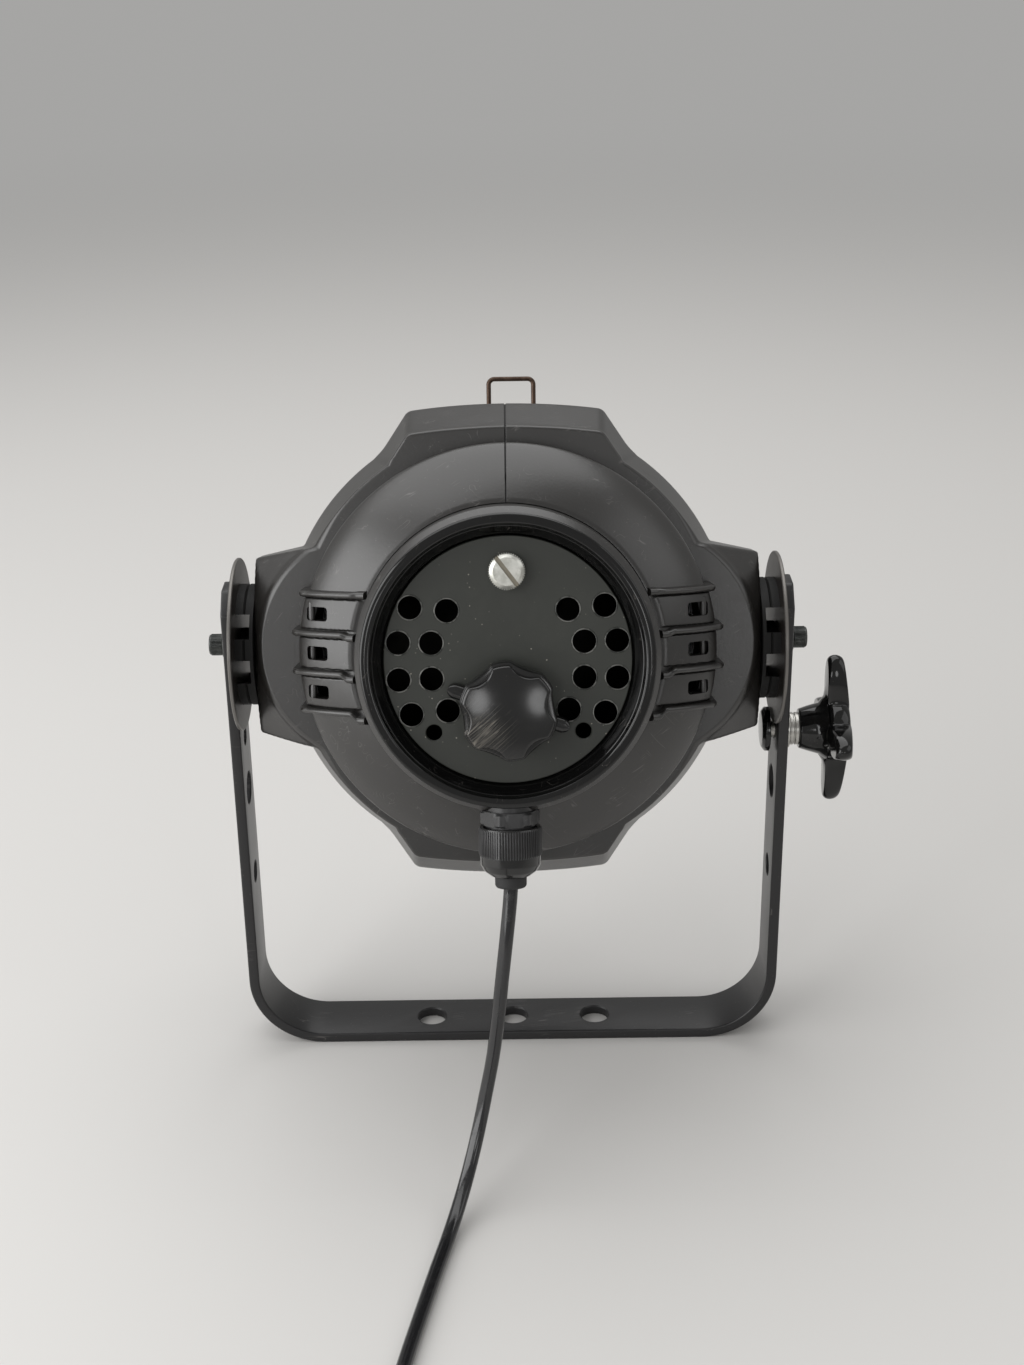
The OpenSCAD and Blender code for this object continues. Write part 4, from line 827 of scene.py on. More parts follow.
def dome_point(a):
    """Radius, y and outward direction of the dome at an angle: an ellipse, then a straight side wall."""
    r, y = CROWN_R * math.sin(a), -FLANGE_HALF - CROWN_DEPTH * math.cos(a)
    slope_n = np.array([math.sin(a) / CROWN_R, -math.cos(a) / CROWN_DEPTH])
    wall = float(step(a, CORNER_AT - 0.012, CORNER_AT + 0.012))
    n = slope_n / np.hypot(*slope_n) * (1 - wall) + np.array([1, 0]) * wall
    return float(softmin(r, DOME_R, DOME_CORNER)), y, n / np.hypot(*n)


def dome_angles(start_r, rows):
    """Angles from a radius to the flange, close together where the dome turns into its side wall."""
    before, after = CORNER_AT - 0.02, CORNER_AT + 0.02
    return np.concatenate([np.linspace(math.asin(start_r / CROWN_R), before, rows),
                           np.linspace(before, after, 11)[1:], np.linspace(after, math.pi / 2, 8)[1:]])


def dome_rows(angle, groove):
    """From the rear opening's lip over the dome, with the proud bays and the seam's groove and nick."""
    rows = []
    for a in dome_angles(OPENING_R, DOME_ROWS):
        r, y, n = dome_point(a)
        level = (r * np.sin(angle) - EAR_MID_Z) / RIB_PITCH - 0.5
        off_rib = np.abs(level - np.round(level)) * RIB_PITCH
        in_bay = step(off_rib, RIB_GAP - 0.3, RIB_GAP + 0.3) * (np.abs(level + 0.5) < 1.5)
        nick = NICK_DEPTH * math.exp(-((r - NICK_R) / NICK_W) ** 2) * (np.sin(angle) > 0)
        lift = BAY_RISE * in_bay * step(r, BAY_INNER_R, BAY_INNER_R + 1.0) - groove * (1 + nick)
        lip = OPENING_LIP * (1 - step(r, OPENING_R, OPENING_R + 0.8))
        rows.append((r + n[0] * (lift - lip), y + n[1] * (lift - lip)))
    return rows


def edge_rows(angle, groove):
    """Across the flat rear face, round its soft corner, along the edge and round to the front face."""
    on_ear = step(np.abs(np.cos(angle)), 0.75, 0.9)
    soft, bevel = REAR_SOFT + (EAR_SOFT - REAR_SOFT) * on_ear, 1 + EAR_BEVEL * on_ear
    rear_edge = casting_edge(angle, -FLANGE_HALF + soft) - soft
    rear_y = -FLANGE_HALF + groove
    inner = DOME_R + 0.7 + (BAY_RISE + 0.3) * (np.abs(np.sin(angle)) < 0.35)
    rows = [(r, rear_y) for r in (inner, inner * 0.6 + rear_edge * 0.4, rear_edge - 0.4, rear_edge)]
    for a in np.linspace(-math.pi / 2, 0, ARC_ROWS)[1:]:
        out, down = max(math.cos(a), 0) ** bevel, (-math.sin(a)) ** bevel
        rows.append((rear_edge + (soft - groove) * out, rear_y + soft * (1 - down)))
    for t in np.linspace(0, 1, EDGE_ROWS)[1:]:
        y = (-FLANGE_HALF + soft) * (1 - t) + (FLANGE_HALF - FRONT_SOFT) * t
        rows.append((casting_edge(angle, y) - groove, y))
    front_edge = casting_edge(angle, FLANGE_HALF - FRONT_SOFT) - FRONT_SOFT
    for a in np.linspace(0, math.pi / 2, ARC_ROWS)[1:]:
        y = FLANGE_HALF - FRONT_SOFT + FRONT_SOFT * math.sin(a)
        rows.append((front_edge + FRONT_SOFT * math.cos(a), y))
    return rows


def inside_rows():
    """The barrel's seat, the wall behind it and the inside of the dome."""
    inner_r, ring_r = DOME_R - WALL, RING_R - 2 * WALL
    rows = [(BARREL_SEAT_R, FLANGE_HALF), (BARREL_SEAT_R, BARREL_SEAT_Y), (ring_r, BARREL_SEAT_Y - 5),
            (ring_r, -11), (inner_r, -FLANGE_HALF)]
    for a in np.linspace(math.pi / 2, math.asin(OPENING_R / inner_r), INSIDE_ROWS)[1:]:
        rows.append((inner_r * math.sin(a), -FLANGE_HALF - (DOME_DEPTH - WALL) * math.cos(a)))
    return rows


def casting_sections(angle):
    """Radii and y of the section's points, for an array of angles, as two arrays."""
    wide = np.ones_like(angle)
    groove = SEAM_DEPTH * (1 - step(DOME_R * np.abs(np.cos(angle)), 0, SEAM_W))
    mouth_y = dome_point(math.asin(OPENING_R / CROWN_R))[1] + 1
    rows = [(OPENING_R, mouth_y)] + dome_rows(angle, groove) + edge_rows(angle, groove) + inside_rows()
    return np.array([r * wide for r, _ in rows]).T, np.array([y * wide for _, y in rows]).T


print("a section has", casting_sections(np.zeros(1))[0].shape[1], "points")

# %% The two castings
def spread(*stretches):
    """Angles in degrees: each stretch is (from, to, step)."""
    return np.radians(np.concatenate([np.arange(a, b, s) for a, b, s in stretches]))


upper = spread((0, 22.5, 0.25), (22.5, 30, 0.5), (30, 52, 1.0), (52, 72, 0.5), (72, 89, 1.0),
               (89, 89.6, 0.2), (89.6, 90.02, 0.05))
half_turn = np.clip(np.concatenate([-upper[:0:-1], upper]), -math.pi / 2, math.pi / 2)


def casting_half(side):
    r, y = casting_sections(half_turn)
    x = side * (r * np.cos(half_turn)[:, None] + SEAM_GAP)
    z = r * np.sin(half_turn)[:, None]
    return loft(np.stack([x, y, z], axis=-1))


castings = {name: shape("casting_" + name, [casting_half(side)], LANTERN, sharp=40)
            for name, (side, _) in SIDES.items()}
print("each casting has", len(castings["right"].data.polygons), "faces")

# %% [markdown]
# Six vents pierce the bays. A Boolean with a rounded cutter makes each a true opening,
# and the cutters are thrown away once the cut is applied.

# %% Vents
VENT_X, VENT_L, VENT_H, VENT_ROUND = 83.0, 9.6, 6.1, 1.4
VENT_LEVELS = [EAR_MID_Z + i * RIB_PITCH for i in (-1, 0, 1)]


def rounded_bar(length, height, radius, y0, y1):
    outline = rounded(box(-length / 2, -height / 2, length / 2, height / 2, radius))
    return loft([[(u, y, v) for u, v in outline] for y in (y0, y1)])


def cut(piece, *cutters, place=PLAIN):
    """Takes closed parts out of a piece with an exact Boolean, and applies it."""
    cutter = shape("cutter", cutters, place)
    tool = piece.modifiers.new("cut", "BOOLEAN")
    tool.object, tool.solver, tool.operation = cutter, "EXACT", "DIFFERENCE"
    settle(piece, 40)
    bpy.data.objects.remove(cutter)


for name, (side, _) in SIDES.items():
    bar = rounded_bar(VENT_L, VENT_H, VENT_ROUND, -62, -37)
    cut(castings[name], *[moved(bar, at(side * VENT_X, 0, z)) for z in VENT_LEVELS], place=LANTERN)
    print(castings[name].name, "pierced:", len(castings[name].data.polygons), "faces")
    dress(castings[name], "housing", split_paint, "casting", "housing_" + name)

# %% [markdown]
# The cooling ribs lie flat across the dome: each is a slab at one height, so its path is
# the line that this height cuts from the dome, and it turns down the side wall at the
# end. The crest is fully rounded. Near the neck each rib drops to a broad low foot.

# %% Ribs
RIB_ROWS, RIB_START_R, RIB_FOOT_R, RIB_SINK = 40, 66.0, 69.9, 1.2
RIB_LEVELS = {1.5: 0.0, 0.5: -1.2, -0.5: -2.0, -1.5: -2.8}


def rib(side, level, drop):
    z0 = EAR_MID_Z + level * RIB_PITCH
    rings = []
    for a in dome_angles(RIB_START_R, RIB_ROWS):
        r, y, n = dome_point(a)
        x = math.sqrt(r * r - z0 * z0)
        out = Vector((n[0] * x / r, n[1])).normalized()
        full = float(step(r, RIB_FOOT_R - 1.2, RIB_FOOT_R + 1.2))
        tip = float(step(r, DOME_R - 2.4, DOME_R - 0.4))
        half = RIB_T / 2 * (1.3 - 0.3 * full) + 0.3 * tip
        height = RIB_H * (0.75 + 0.25 * full) + 0.3 * tip
        crest = [(half * math.cos(t), height - half * (1 - math.sin(t))) for t in np.linspace(math.pi, 0, 9)]
        rings.append([(side * (x + out.x * h), y + out.y * h, z0 + drop * (1 - full) + w)
                      for w, h in [(-half - 0.5, -RIB_SINK)] + crest + [(half + 0.5, -RIB_SINK)]])
    return loft(rings)


rib_parts = [rib(side, *level) for side in (-1, 1) for level in RIB_LEVELS.items()]
ribs = shape("cooling_ribs", rib_parts, LANTERN, sharp=50)
dress(ribs, "housing", casting_paint, "casting")

# %% Posts behind the vents
POST_R, POST_HALF, POST_Y, POST_OUT = 1.5, 5, -47.5, 2.6
post = lathe([(0, -POST_HALF, 0), (POST_R, -POST_HALF, 0.3), (POST_R, POST_HALF, 0.3), (0, POST_HALF, 0)], 24)
copied("vent_posts", moved(post, at(0, POST_Y, 0) @ DOWNWARD),
       [(side * (VENT_X + POST_OUT), 0, z, 0) for side in (-1, 1) for z in VENT_LEVELS],
       LANTERN, "housing", casting_paint, "casting")

# %% [markdown]
# The rear cap is turned: a grey neck ring, and inside it a glossy black collar whose rim
# is a soft roll with a stepped throat. Small notches in the neck ring's edge show where
# the casting's slides met.

# %% Neck ring and collar
NECK_R, NECK_BORE_R, NECK_END, NOTCH_TURNS = 65.3, 60.1, -85.4, (-35, -12, 28, 35)
PLATE_Y, PLATE_T, PLATE_R, COLLAR_BORE_R, LIP_R = -81.5, 2.0, 52.6, 52.9, 62.3

neck_outline = [
    (NECK_BORE_R, -56.5, 0), (NECK_R + 4.2, -56.5, 0), (NECK_R + 4.2, -58.6, 0.4), (NECK_R, -61.2, 0.4),
    (NECK_R, -66, 0), (NECK_R - 0.4, -81.8, 1.2), (62.2, NECK_END, 0.6), (NECK_BORE_R, NECK_END, 0)]
neck = shape("neck_ring", [lathe(neck_outline, 192, 7)], LANTERN)
notch = rounded_bar(2.2, 3.0, 0.5, -63.6, -61)
cut(neck, *[moved(notch, spin(turn, "Y") @ at(0, 0, NECK_R + 0.6)) for turn in NOTCH_TURNS], place=LANTERN)
dress(neck, "housing", casting_paint, "casting", "neck_ring")

plate_front, seat_r = PLATE_Y + PLATE_T, NECK_BORE_R - 0.1
made("rear_collar", lathe([
    (seat_r, plate_front, 0), (seat_r, -85.3, 0), (LIP_R, -85.3, 0.3), (LIP_R, -89.7, 1.3), (60.0, -90.0, 1.5),
    (57.9, -90.0, 1.6), (57.2, -87.6, 0.5), (56.8, -87.4, 0.3), (COLLAR_BORE_R + 0.8, -83.6, 1.5),
    (COLLAR_BORE_R, plate_front, 0)], 192, 6), LANTERN, "housing", gloss_black, "gloss_ring")

# %% [markdown]
# The vent plate is a flat disc with punched holes. Its faces are filled between the
# outer circle and the holes, and each hole has a small chamfer on the rear side.

# %% Vent plate
VENT_R, VENT_ARCS = 5.3, ((46.9, 19.3), (33.2, 26.5))
SMALL_R, SMALL_ARC_R, SMALL_ANGLES = 3.4, 44.0, (-44, -136)
SCREW_HOLE_R, KNOB_HOLE_R, KNOB_DOWN, HOLE_CHAMFER = 2.8, 4.06, 20.0, 0.35


def polar(radius, degrees):
    return radius * math.cos(math.radians(degrees)), radius * math.sin(math.radians(degrees))


vents = [(*polar(radius, base + turn * pitch), VENT_R) for base in (0, 180) for turn in (-1.5, -0.5, 0.5, 1.5)
         for radius, pitch in VENT_ARCS]
holes = vents + [(*polar(SMALL_ARC_R, a), SMALL_R) for a in SMALL_ANGLES]
holes += [(0, SCREW_UP, SCREW_HOLE_R), (0, -KNOB_DOWN, KNOB_HOLE_R)]


def pierced_disc(radius, holes, y0, y1, chamfer):
    """A disc with round holes, chamfered where it meets y0. holes: (x, z, radius)."""
    bm = bmesh.new()

    def circle(x, z, r, y, steps):
        return [bm.verts.new((x + u, y, z + v)) for u, v in circle_outline(r, steps)]

    edges = {y0: [], y1: []}
    for x, z, r, steps, sign in [(0, 0, radius, 160, -1)] + [(*hole, 36, 1) for hole in holes]:
        stack = [circle(x, z, r + sign * chamfer, y0, steps), circle(x, z, r, y0 + chamfer, steps),
                 circle(x, z, r, y1, steps)]
        for a, b in zip(stack, stack[1:]):
            for i in range(steps):
                bm.faces.new((a[i - 1], a[i], b[i], b[i - 1]))
        for y, ring in ((y0, stack[0]), (y1, stack[-1])):
            edges[y] += [bm.edges.get((ring[i - 1], ring[i])) for i in range(steps)]
    for rim in edges.values():
        bmesh.ops.triangle_fill(bm, edges=rim, use_beauty=True, use_dissolve=False)
    bm.verts.index_update()
    part = [v.co.copy() for v in bm.verts], [tuple(v.index for v in f.verts) for f in bm.faces]
    bm.free()
    return part


made("vent_plate", pierced_disc(PLATE_R, holes, PLATE_Y, plate_front, HOLE_CHAMFER), LANTERN,
     "lamp_tray", plate_paint, "plate_paint")
rim = lathe([(4.95, 0.0, 0.05), (4.95, -0.16, 0.08), (5.5, -0.06, 0.03), (5.5, 0.1, 0)], 40, 3)
copied("vent_rims", rim, [(x, PLATE_Y, z, 0) for x, z, _ in vents], LANTERN,
       "lamp_tray", plate_edge, "plate_paint")

# %% Thumb screw
SCREW_R, SCREW_HEAD_L, SHANK_R, SCREW_RIDGES = 7.75, 6.0, 2.5, 48
grip_r, head_end, screw_place = SCREW_R - 0.35, SCREW_HEAD_Y + SCREW_HEAD_L, at(0, 0, SCREW_UP)
head = lathe([(0, SCREW_HEAD_Y + 0.15, 0), (SCREW_R - 1.85, SCREW_HEAD_Y, 0.25), (grip_r, SCREW_HEAD_Y + 1.1, 0.3),
              (grip_r, head_end, 0.3), (0, head_end, 0)], 96)
shank = lathe([(0, -82), (SHANK_R, -82), (SHANK_R, -70.5), (0, -70.5)], 32)
screw = shape("thumb_screw", [moved(head, screw_place), moved(shank, screw_place)], LANTERN)
slot = rounded_bar(20, 1.9, 0.1, SCREW_HEAD_Y - 2, SCREW_HEAD_Y + 1.7)
cut(screw, moved(slot, screw_place @ spin(SLOT_TURN, "Y")), place=LANTERN)
dress(screw, "thumb_screw", zinc, "zinc_steel", "thumb_screw")
grip = ridge([(-0.4, 0.32), (0.25, 0.176)], 0.475, [(SCREW_HEAD_Y + 1.5, 1), (head_end - 0.3, 1)])
copied("thumb_screw_knurl", grip, around(SCREW_RIDGES, grip_r), LANTERN @ screw_place,
       "thumb_screw", zinc, "zinc_steel")

# %% [markdown]
# The focus knob has six scallops, each a piece of a circle cut from the round. Its cap has
# the full scallops, and the skirt behind it is wider and has shallower ones. The last
# rings of the loft make the soft shoulder and the domed face. The locking bar behind it
# is a rounded bar with a round hub.

# %% Focus knob and locking bar
KNOB_BACK, KNOB_FRONT, KNOB_R, KNOB_LOBES, KNOB_TURN = -87.8, -102.8, 19.8, 6, 38
SCALLOP_DEPTH, SCALLOP_R, KNOB_STEP_Y, KNOB_DOME, KNOB_SKIRT = 3.4, 10.5, -97.0, 2.1, 1.1
BAR_BACK, BAR_FRONT, BAR_L, BAR_H, BAR_TURN, HUB_R = -81.9, -87.4, 54.0, 6.4, 18.6, 9
KNOB = LANTERN @ at(0, 0, -KNOB_DOWN)


def scalloped(count, radius, depth, scallop_r, turn, steps=240):
    """Angles and radii of a round outline with scallops; turn is the angle of a lobe in degrees."""
    a = np.linspace(0, 2 * math.pi, steps, endpoint=False)
    pitch = 2 * math.pi / count
    off = (a - math.radians(turn)) % pitch - pitch / 2
    away = radius - depth + scallop_r
    scallop = away * np.cos(off) - np.sqrt(np.clip(scallop_r ** 2 - (away * np.sin(off)) ** 2, 0, None))
    return a, softmin(np.full_like(a, radius), scallop, 1.6)


def outline_rings(outline, rows):
    """Rings about the Y axis from rows of (y, inset from the outline, scale, share of the scallops)."""
    a, r = outline
    rings = []
    for y, inset, k, share in rows:
        q = (r.max() + (r - r.max()) * share - inset) * k
        rings.append(np.stack([q * np.cos(a), np.full_like(a, y), q * np.sin(a)], axis=-1))
    return rings


knob_outline = scalloped(KNOB_LOBES, KNOB_R + KNOB_SKIRT, SCALLOP_DEPTH, SCALLOP_R, KNOB_TURN)
skirt_and_cap = [
    (KNOB_BACK, 1.6, 0.4, 0.5), (KNOB_BACK, 1.0, 1, 0.5), (KNOB_BACK - 0.3, 0.3, 1, 0.5),
    (KNOB_BACK - 1.0, 0, 1, 0.5),
    (KNOB_STEP_Y + 0.8, 0, 1, 0.55), (KNOB_STEP_Y + 0.2, 0.25, 1, 0.6), (KNOB_STEP_Y, 0.8, 1, 0.7),
    (KNOB_STEP_Y, KNOB_SKIRT + 0.5, 1, 1), (KNOB_STEP_Y - 0.5, KNOB_SKIRT + 0.1, 1, 1)]
face = [(0.9 * (1 - math.sin(t)), KNOB_SKIRT + 0.1 + 1.0 * (1 - math.cos(t)), 1, 1)
        for t in np.linspace(0, math.pi / 2, 8)]
face += [(0, KNOB_SKIRT + 1.1, k, 1) for k in (0.96, 0.9, 0.82, 0.72, 0.6, 0.48, 0.36, 0.24, 0.12, 0.04)]
face_rings = outline_rings(knob_outline, face)
for ring in face_rings:
    ring[:, 1] += KNOB_FRONT + KNOB_DOME * (ring[:, 0] ** 2 + ring[:, 2] ** 2) / KNOB_R ** 2
made("focus_knob", loft(outline_rings(knob_outline, skirt_and_cap) + face_rings), KNOB,
     "focus_knob", moulded, "moulded_black", sharp=40)


def bar_ring(u):
    reach = max(abs(u) - (BAR_L / 2 - BAR_H / 2), 0) / (BAR_H / 2)
    half = BAR_H / 2 * math.sqrt(max(1 - reach ** 2, 0.01))
    soft = min(2.4, half * 0.9)
    front = BAR_FRONT + 0.3
    corners = [(BAR_BACK, -half, 0.3), (front, -half, soft), (front, half, soft), (BAR_BACK, half, 0.3)]
    return [(u, y, z) for y, z in rounded(corners, 5)]


spans = [BAR_L / 2 - BAR_H / 2 * (1 - math.sin(t)) for t in np.linspace(0, math.pi / 2 - 0.1, 9)]
bar_arms = moved(loft([bar_ring(u) for u in [-u for u in reversed(spans)] + spans]), spin(BAR_TURN, "Y"))
bar_hub = lathe([(4.1, BAR_BACK, 0), (HUB_R, BAR_BACK, 0.4), (HUB_R, BAR_FRONT, 0.9), (4.1, BAR_FRONT, 0.2)], 64)
bar = shape("locking_bar", [bar_arms, bar_hub], KNOB, sharp=40)
dress(bar, "locking_bar", moulded, "moulded_black", "locking_bar")

# %% [markdown]
# The gland hangs under the neck ring. Its hexagon is turned with chamfered corners: each
# ring of the loft is a hexagon whose corners are limited to a radius, so the chamfers
# come out as the curved edges of a real nut. The ribs of its dome nut are copies.

# %% Cable gland
GLAND = LANTERN @ at(0, -GLAND_BACK, 0) @ DOWNWARD
HEX_R, HEX_TOP, HEX_FOOT, HEX_TURN, SPIGOT_R = 13.2, 64.7, 70.9, math.radians(9.7), 10.5
NUT_TOP, NUT_FOOT, NUT_R, NUT_RIBS = 71.7, 84.2, 13.25, 72


def hexagon(y, limit, steps=120):
    ring = []
    for t in np.linspace(0, 2 * math.pi, steps, endpoint=False):
        off = t % (math.pi / 3) - math.pi / 6
        r = min(HEX_R * math.cos(math.pi / 6) / math.cos(off), limit)
        ring.append((r * math.cos(HEX_TURN + t), y, r * math.sin(HEX_TURN + t)))
    return ring


hex_rings = [hexagon(y, HEX_R - off) for y, off in
             ((HEX_TOP, 1.5), (HEX_TOP + 0.9, 0.25), (HEX_FOOT - 0.9, 0.25), (HEX_FOOT, 1.5))]
top, foot = HEX_TOP - 4.4, HEX_FOOT + 9.8
spigot = lathe([(7, top), (SPIGOT_R, top), (SPIGOT_R, foot), (7, foot)], 64)
gland_body = shape("gland_body", [loft(hex_rings), spigot], GLAND, sharp=22)
dress(gland_body, "housing", nylon, "gland_plastic", "gland_body")

made("gland_nut", lathe([
    (11.0, NUT_TOP, 0), (NUT_R - 0.4, NUT_TOP, 0.5), (NUT_R, NUT_TOP + 1.0, 0.4), (NUT_R, NUT_FOOT, 0.8),
    (13.05, 88.1, 1.6), (11.6, 90.9, 3.0), (8.4, 93.4, 1.2), (6.95, 93.4, 0.3), (6.95, 88, 0)], 120, 6),
     GLAND, "housing", moulded, "gland_plastic", sharp=50)
grip = ridge([(-0.3, 0.38), (0.75, 0.2356)], 1,
             [(NUT_TOP + 0.6, 0.1), (NUT_TOP + 1.3, 0.55), (NUT_FOOT - 0.8, 0.55), (NUT_FOOT + 0.4, 0.05)],
             sink=0.12)
copied("gland_nut_ribs", grip, around(NUT_RIBS, NUT_R), GLAND, "housing", nylon, "gland_plastic")

# %% Rubber seal
SPLIT_DEPTH, SPLIT_W = 1.6, 0.11


def seal_ring(y, r):
    """A round ring with a V notch on each side, where the seal is split."""
    ring = []
    for a in np.linspace(0, 2 * math.pi, 96, endpoint=False):
        q = r - SPLIT_DEPTH * max(1 - abs(math.sin(a)) / SPLIT_W, 0)
        ring.append((q * math.cos(a), y, q * math.sin(a)))
    return ring


seal_rows = ((92.8, 6.9), (97.2, 6.85), (97.9, 6.7), (98.45, 6.2), (98.6, 5.5), (98.1, 3.6))
made("gland_seal", loft([seal_ring(y, r) for y, r in seal_rows]), GLAND, "housing", rubber, "seal_rubber", sharp=40)

# %% [markdown]
# The yoke is one strap, 30 by 5, bent twice. Its section has a small arc on all four
# edges and is swept along the centre line. The ends narrow to the cut corners. The holes
# are cut by cutters with a chamfer at both mouths, all in one Boolean.

# %% Yoke
STRAP_W, STRAP_T, STRAP_SOFT, STRAP_CUT, STRAP_TOP_Z = 30.0, 5.0, 0.9, 9.0, 240.0
LEG_IN, BEND_R, BASE_HOLE_R, BASE_PITCH = 125.0, 36.0, 7, 41
LEG_HOLES = ((5.0, 0), (4.4, 47), (8, 74.5), (5.5, 120.5))


def strap_ring(x, z, turn, half=STRAP_W / 2):
    """The strap's section at (x, z), its outward side at angle turn from straight down."""
    out = Vector((math.sin(turn), 0, -math.cos(turn)))
    outline = rounded(box(-half, -STRAP_T / 2, half, STRAP_T / 2, STRAP_SOFT))
    return [Vector((x, y, z)) + out * w for y, w in outline]


def yoke_rings():
    """From one leg's top to the other's: the right half is worked out and mirrored."""
    leg_x, bend_mid_r = LEG_IN + STRAP_T / 2, BEND_R - STRAP_T / 2
    centre_x, corner_z = leg_x - bend_mid_r, STRAP_TOP_Z - STRAP_CUT
    full, narrow = STRAP_W / 2, STRAP_W / 2 - STRAP_CUT
    rings = [strap_ring(centre_x * t, STRAP_T / 2, 0) for t in np.linspace(0, 1, 5)[:-1]]
    for a in np.linspace(0, math.pi / 2, 25):
        rings.append(strap_ring(centre_x + bend_mid_r * math.sin(a), BEND_R - bend_mid_r * math.cos(a), a))
    for z, half in ((BEND_R + 30, full), (corner_z - 2, full), (corner_z - 0.6, full), (corner_z, full - 0.15),
                    (corner_z + 0.7, full - 0.7), (STRAP_TOP_Z - 1.0, narrow + 1.2)):
        rings.append(strap_ring(leg_x, z, math.pi / 2, half))
    for z, half, thick, wide in ((STRAP_TOP_Z - 0.3, narrow + 0.5, 0.985, 0.985),
                                 (STRAP_TOP_Z, narrow, 0.85, 0.94)):
        rings.append([(leg_x + (x - leg_x) * thick, y * wide, z)
                      for x, y, _ in strap_ring(leg_x, z, math.pi / 2, half)])
    mirrored = [[Vector((-p[0], p[1], p[2])) for p in ring] for ring in rings[:0:-1]]
    return mirrored + rings


def bored(radius, y0, y1, chamfer):
    """A cutter along Y for a hole between y0 and y1 with a chamfer at both mouths."""
    flare = radius + chamfer + 1
    return lathe([(0, y0 - 1), (flare, y0 - 1), (radius, y0 + chamfer), (radius, y1 - chamfer),
                  (flare, y1 + 1), (0, y1 + 1)], 64)


yoke = shape("yoke", [loft(yoke_rings())], sharp=30)
base_hole = bored(BASE_HOLE_R, 0, STRAP_T, 0.6)
bores = [moved(base_hole, at(x, 0, 0) @ spin(90, "X")) for x in (-BASE_PITCH, 0, BASE_PITCH)]
for _, along in SIDES.values():
    bores += [moved(bored(r, LEG_IN, LEG_IN + STRAP_T, 0.45), at(0, 0, -drop) @ at(0, 0, PIVOT) @ along)
              for r, drop in LEG_HOLES]
cut(yoke, *bores)
dress(yoke, "yoke", yoke_paint, "yoke", "yoke")

# %% [markdown]
# On each side a thin brake disc and a slotted drum sit between ear and leg, and a socket
# screw goes through a plain bush. The discs, drums and bushes are the CAD's own solids
# and only get a finish, which `paint` gives them. The screws are drawn again, with a
# chamfered socket and a knurled head.

# %% Tilt discs, drums and screws
BOLT_R, BOLT_START, BOLT_HEAD_X, BOLT_HEAD_R, BOLT_HEAD_L = 3.0, 99.8, 131.7, 5.0, 6.4
WASHER_R, WASHER_T, SOCKET_AF, SOCKET_DEPTH, SOCKET_TURN, BOLT_KNURLS = 6.4, 1.6, 5.0, 3.2, 12, 40
DISC_R, DISC_RUBBED = 40.0, (0.30, 0.29, 0.275)

around_axis = disc_brown.add("ShaderNodeVectorMath", {"operation": "LENGTH"},
                             {0: disc_brown.turned((0, 0, 0), (1e6, 1, 1), (0, 0, PIVOT))}, "Value")
rubbed = disc_brown.ramp(around_axis, (DISC_R - 0.5) * MM, (DISC_R - 0.2) * MM)
disc_brown.set(Base_Color=disc_brown.blend(0.5 * rubbed, disc_brown.coat(), DISC_RUBBED))
paint(disc_brown, "tilt_disc_left", "tilt_disc_right")
paint(drum_plastic, "spacer_drum_left", "spacer_drum_right")
paint(natural_nylon, "pivot_bush_left", "pivot_bush_right")

crown, grip_r, under = BOLT_HEAD_X + BOLT_HEAD_L, BOLT_HEAD_R - 0.25, BOLT_HEAD_X - WASHER_T
head = lathe([(0, BOLT_START, 0), (BOLT_R, BOLT_START, 0.4), (BOLT_R, under, 0), (WASHER_R, under, 0.3),
              (WASHER_R, BOLT_HEAD_X - 0.05, 0.3), (grip_r - 0.4, BOLT_HEAD_X - 0.05, 0),
              (grip_r, BOLT_HEAD_X + 0.4, 0.1), (grip_r, crown, 0.9), (0, crown, 0)], 80, 5)
hexagonal = circle_outline(SOCKET_AF / math.sqrt(3), 6, math.radians(SOCKET_TURN))
socket = loft([[(u, y, v) for u, v in hexagonal] for y in (crown - SOCKET_DEPTH, crown + 1)])
mouth_cone = lathe([(0, crown - 0.35), (2.6, crown - 0.35), (3.9, crown + 1), (0, crown + 1)], 48)
grip = ridge([(-0.27, 0.27)], 0.27, [(BOLT_HEAD_X + 0.6, 1), (crown - 1.0, 1)])
for name, (_, along) in SIDES.items():
    place = LANTERN @ along
    bolt = shape("bolt_" + name, [head], place)
    cut(bolt, socket, place=place)
    cut(bolt, mouth_cone, place=place)
    dress(bolt, "housing", bolt_black, "bolt_steel", "pivot_bolt_" + name)
    copied("bolt_knurl_" + name, grip, around(BOLT_KNURLS, grip_r), place, "housing", bolt_black, "bolt_steel")

# %% [markdown]
# The clamp's stud carries a domed pad inside the leg, and outside it a steel washer, a
# collar with a groove, and the moulded handle. The handle is one loft: its rings start as
# circles along the hub and turn into the four-lobed outline, where the arms' soft edges
# are made by rings that lie a little inside it.

# %% Clamp
CLAMP_Z, STUD_R, PAD_X, PAD_R, PAD_T = 164.0, 4.0, 118.5, 10.5, 4.0
CLAMP_WASHER_X, CLAMP_WASHER_R, CLAMP_WASHER_T = 130.1, 9.0, 1.8
COLLAR_X, COLLAR_R, COLLAR_L, GROOVE = 132.0, 7.7, 4.4, 0.5
HUB_X, HUB_L, HUB_SMALL_R, HUB_LARGE_R = 136.4, 13.5, 9.5, 15.0
ARM_REACH, ARM_ROOT, ARM_T, ARM_TIP_T, ARM_TURN = 36.0, 15.0, 9.5, 7.0, 6.0
CLAMP = at(0, 0, CLAMP_Z) @ ALONG_X

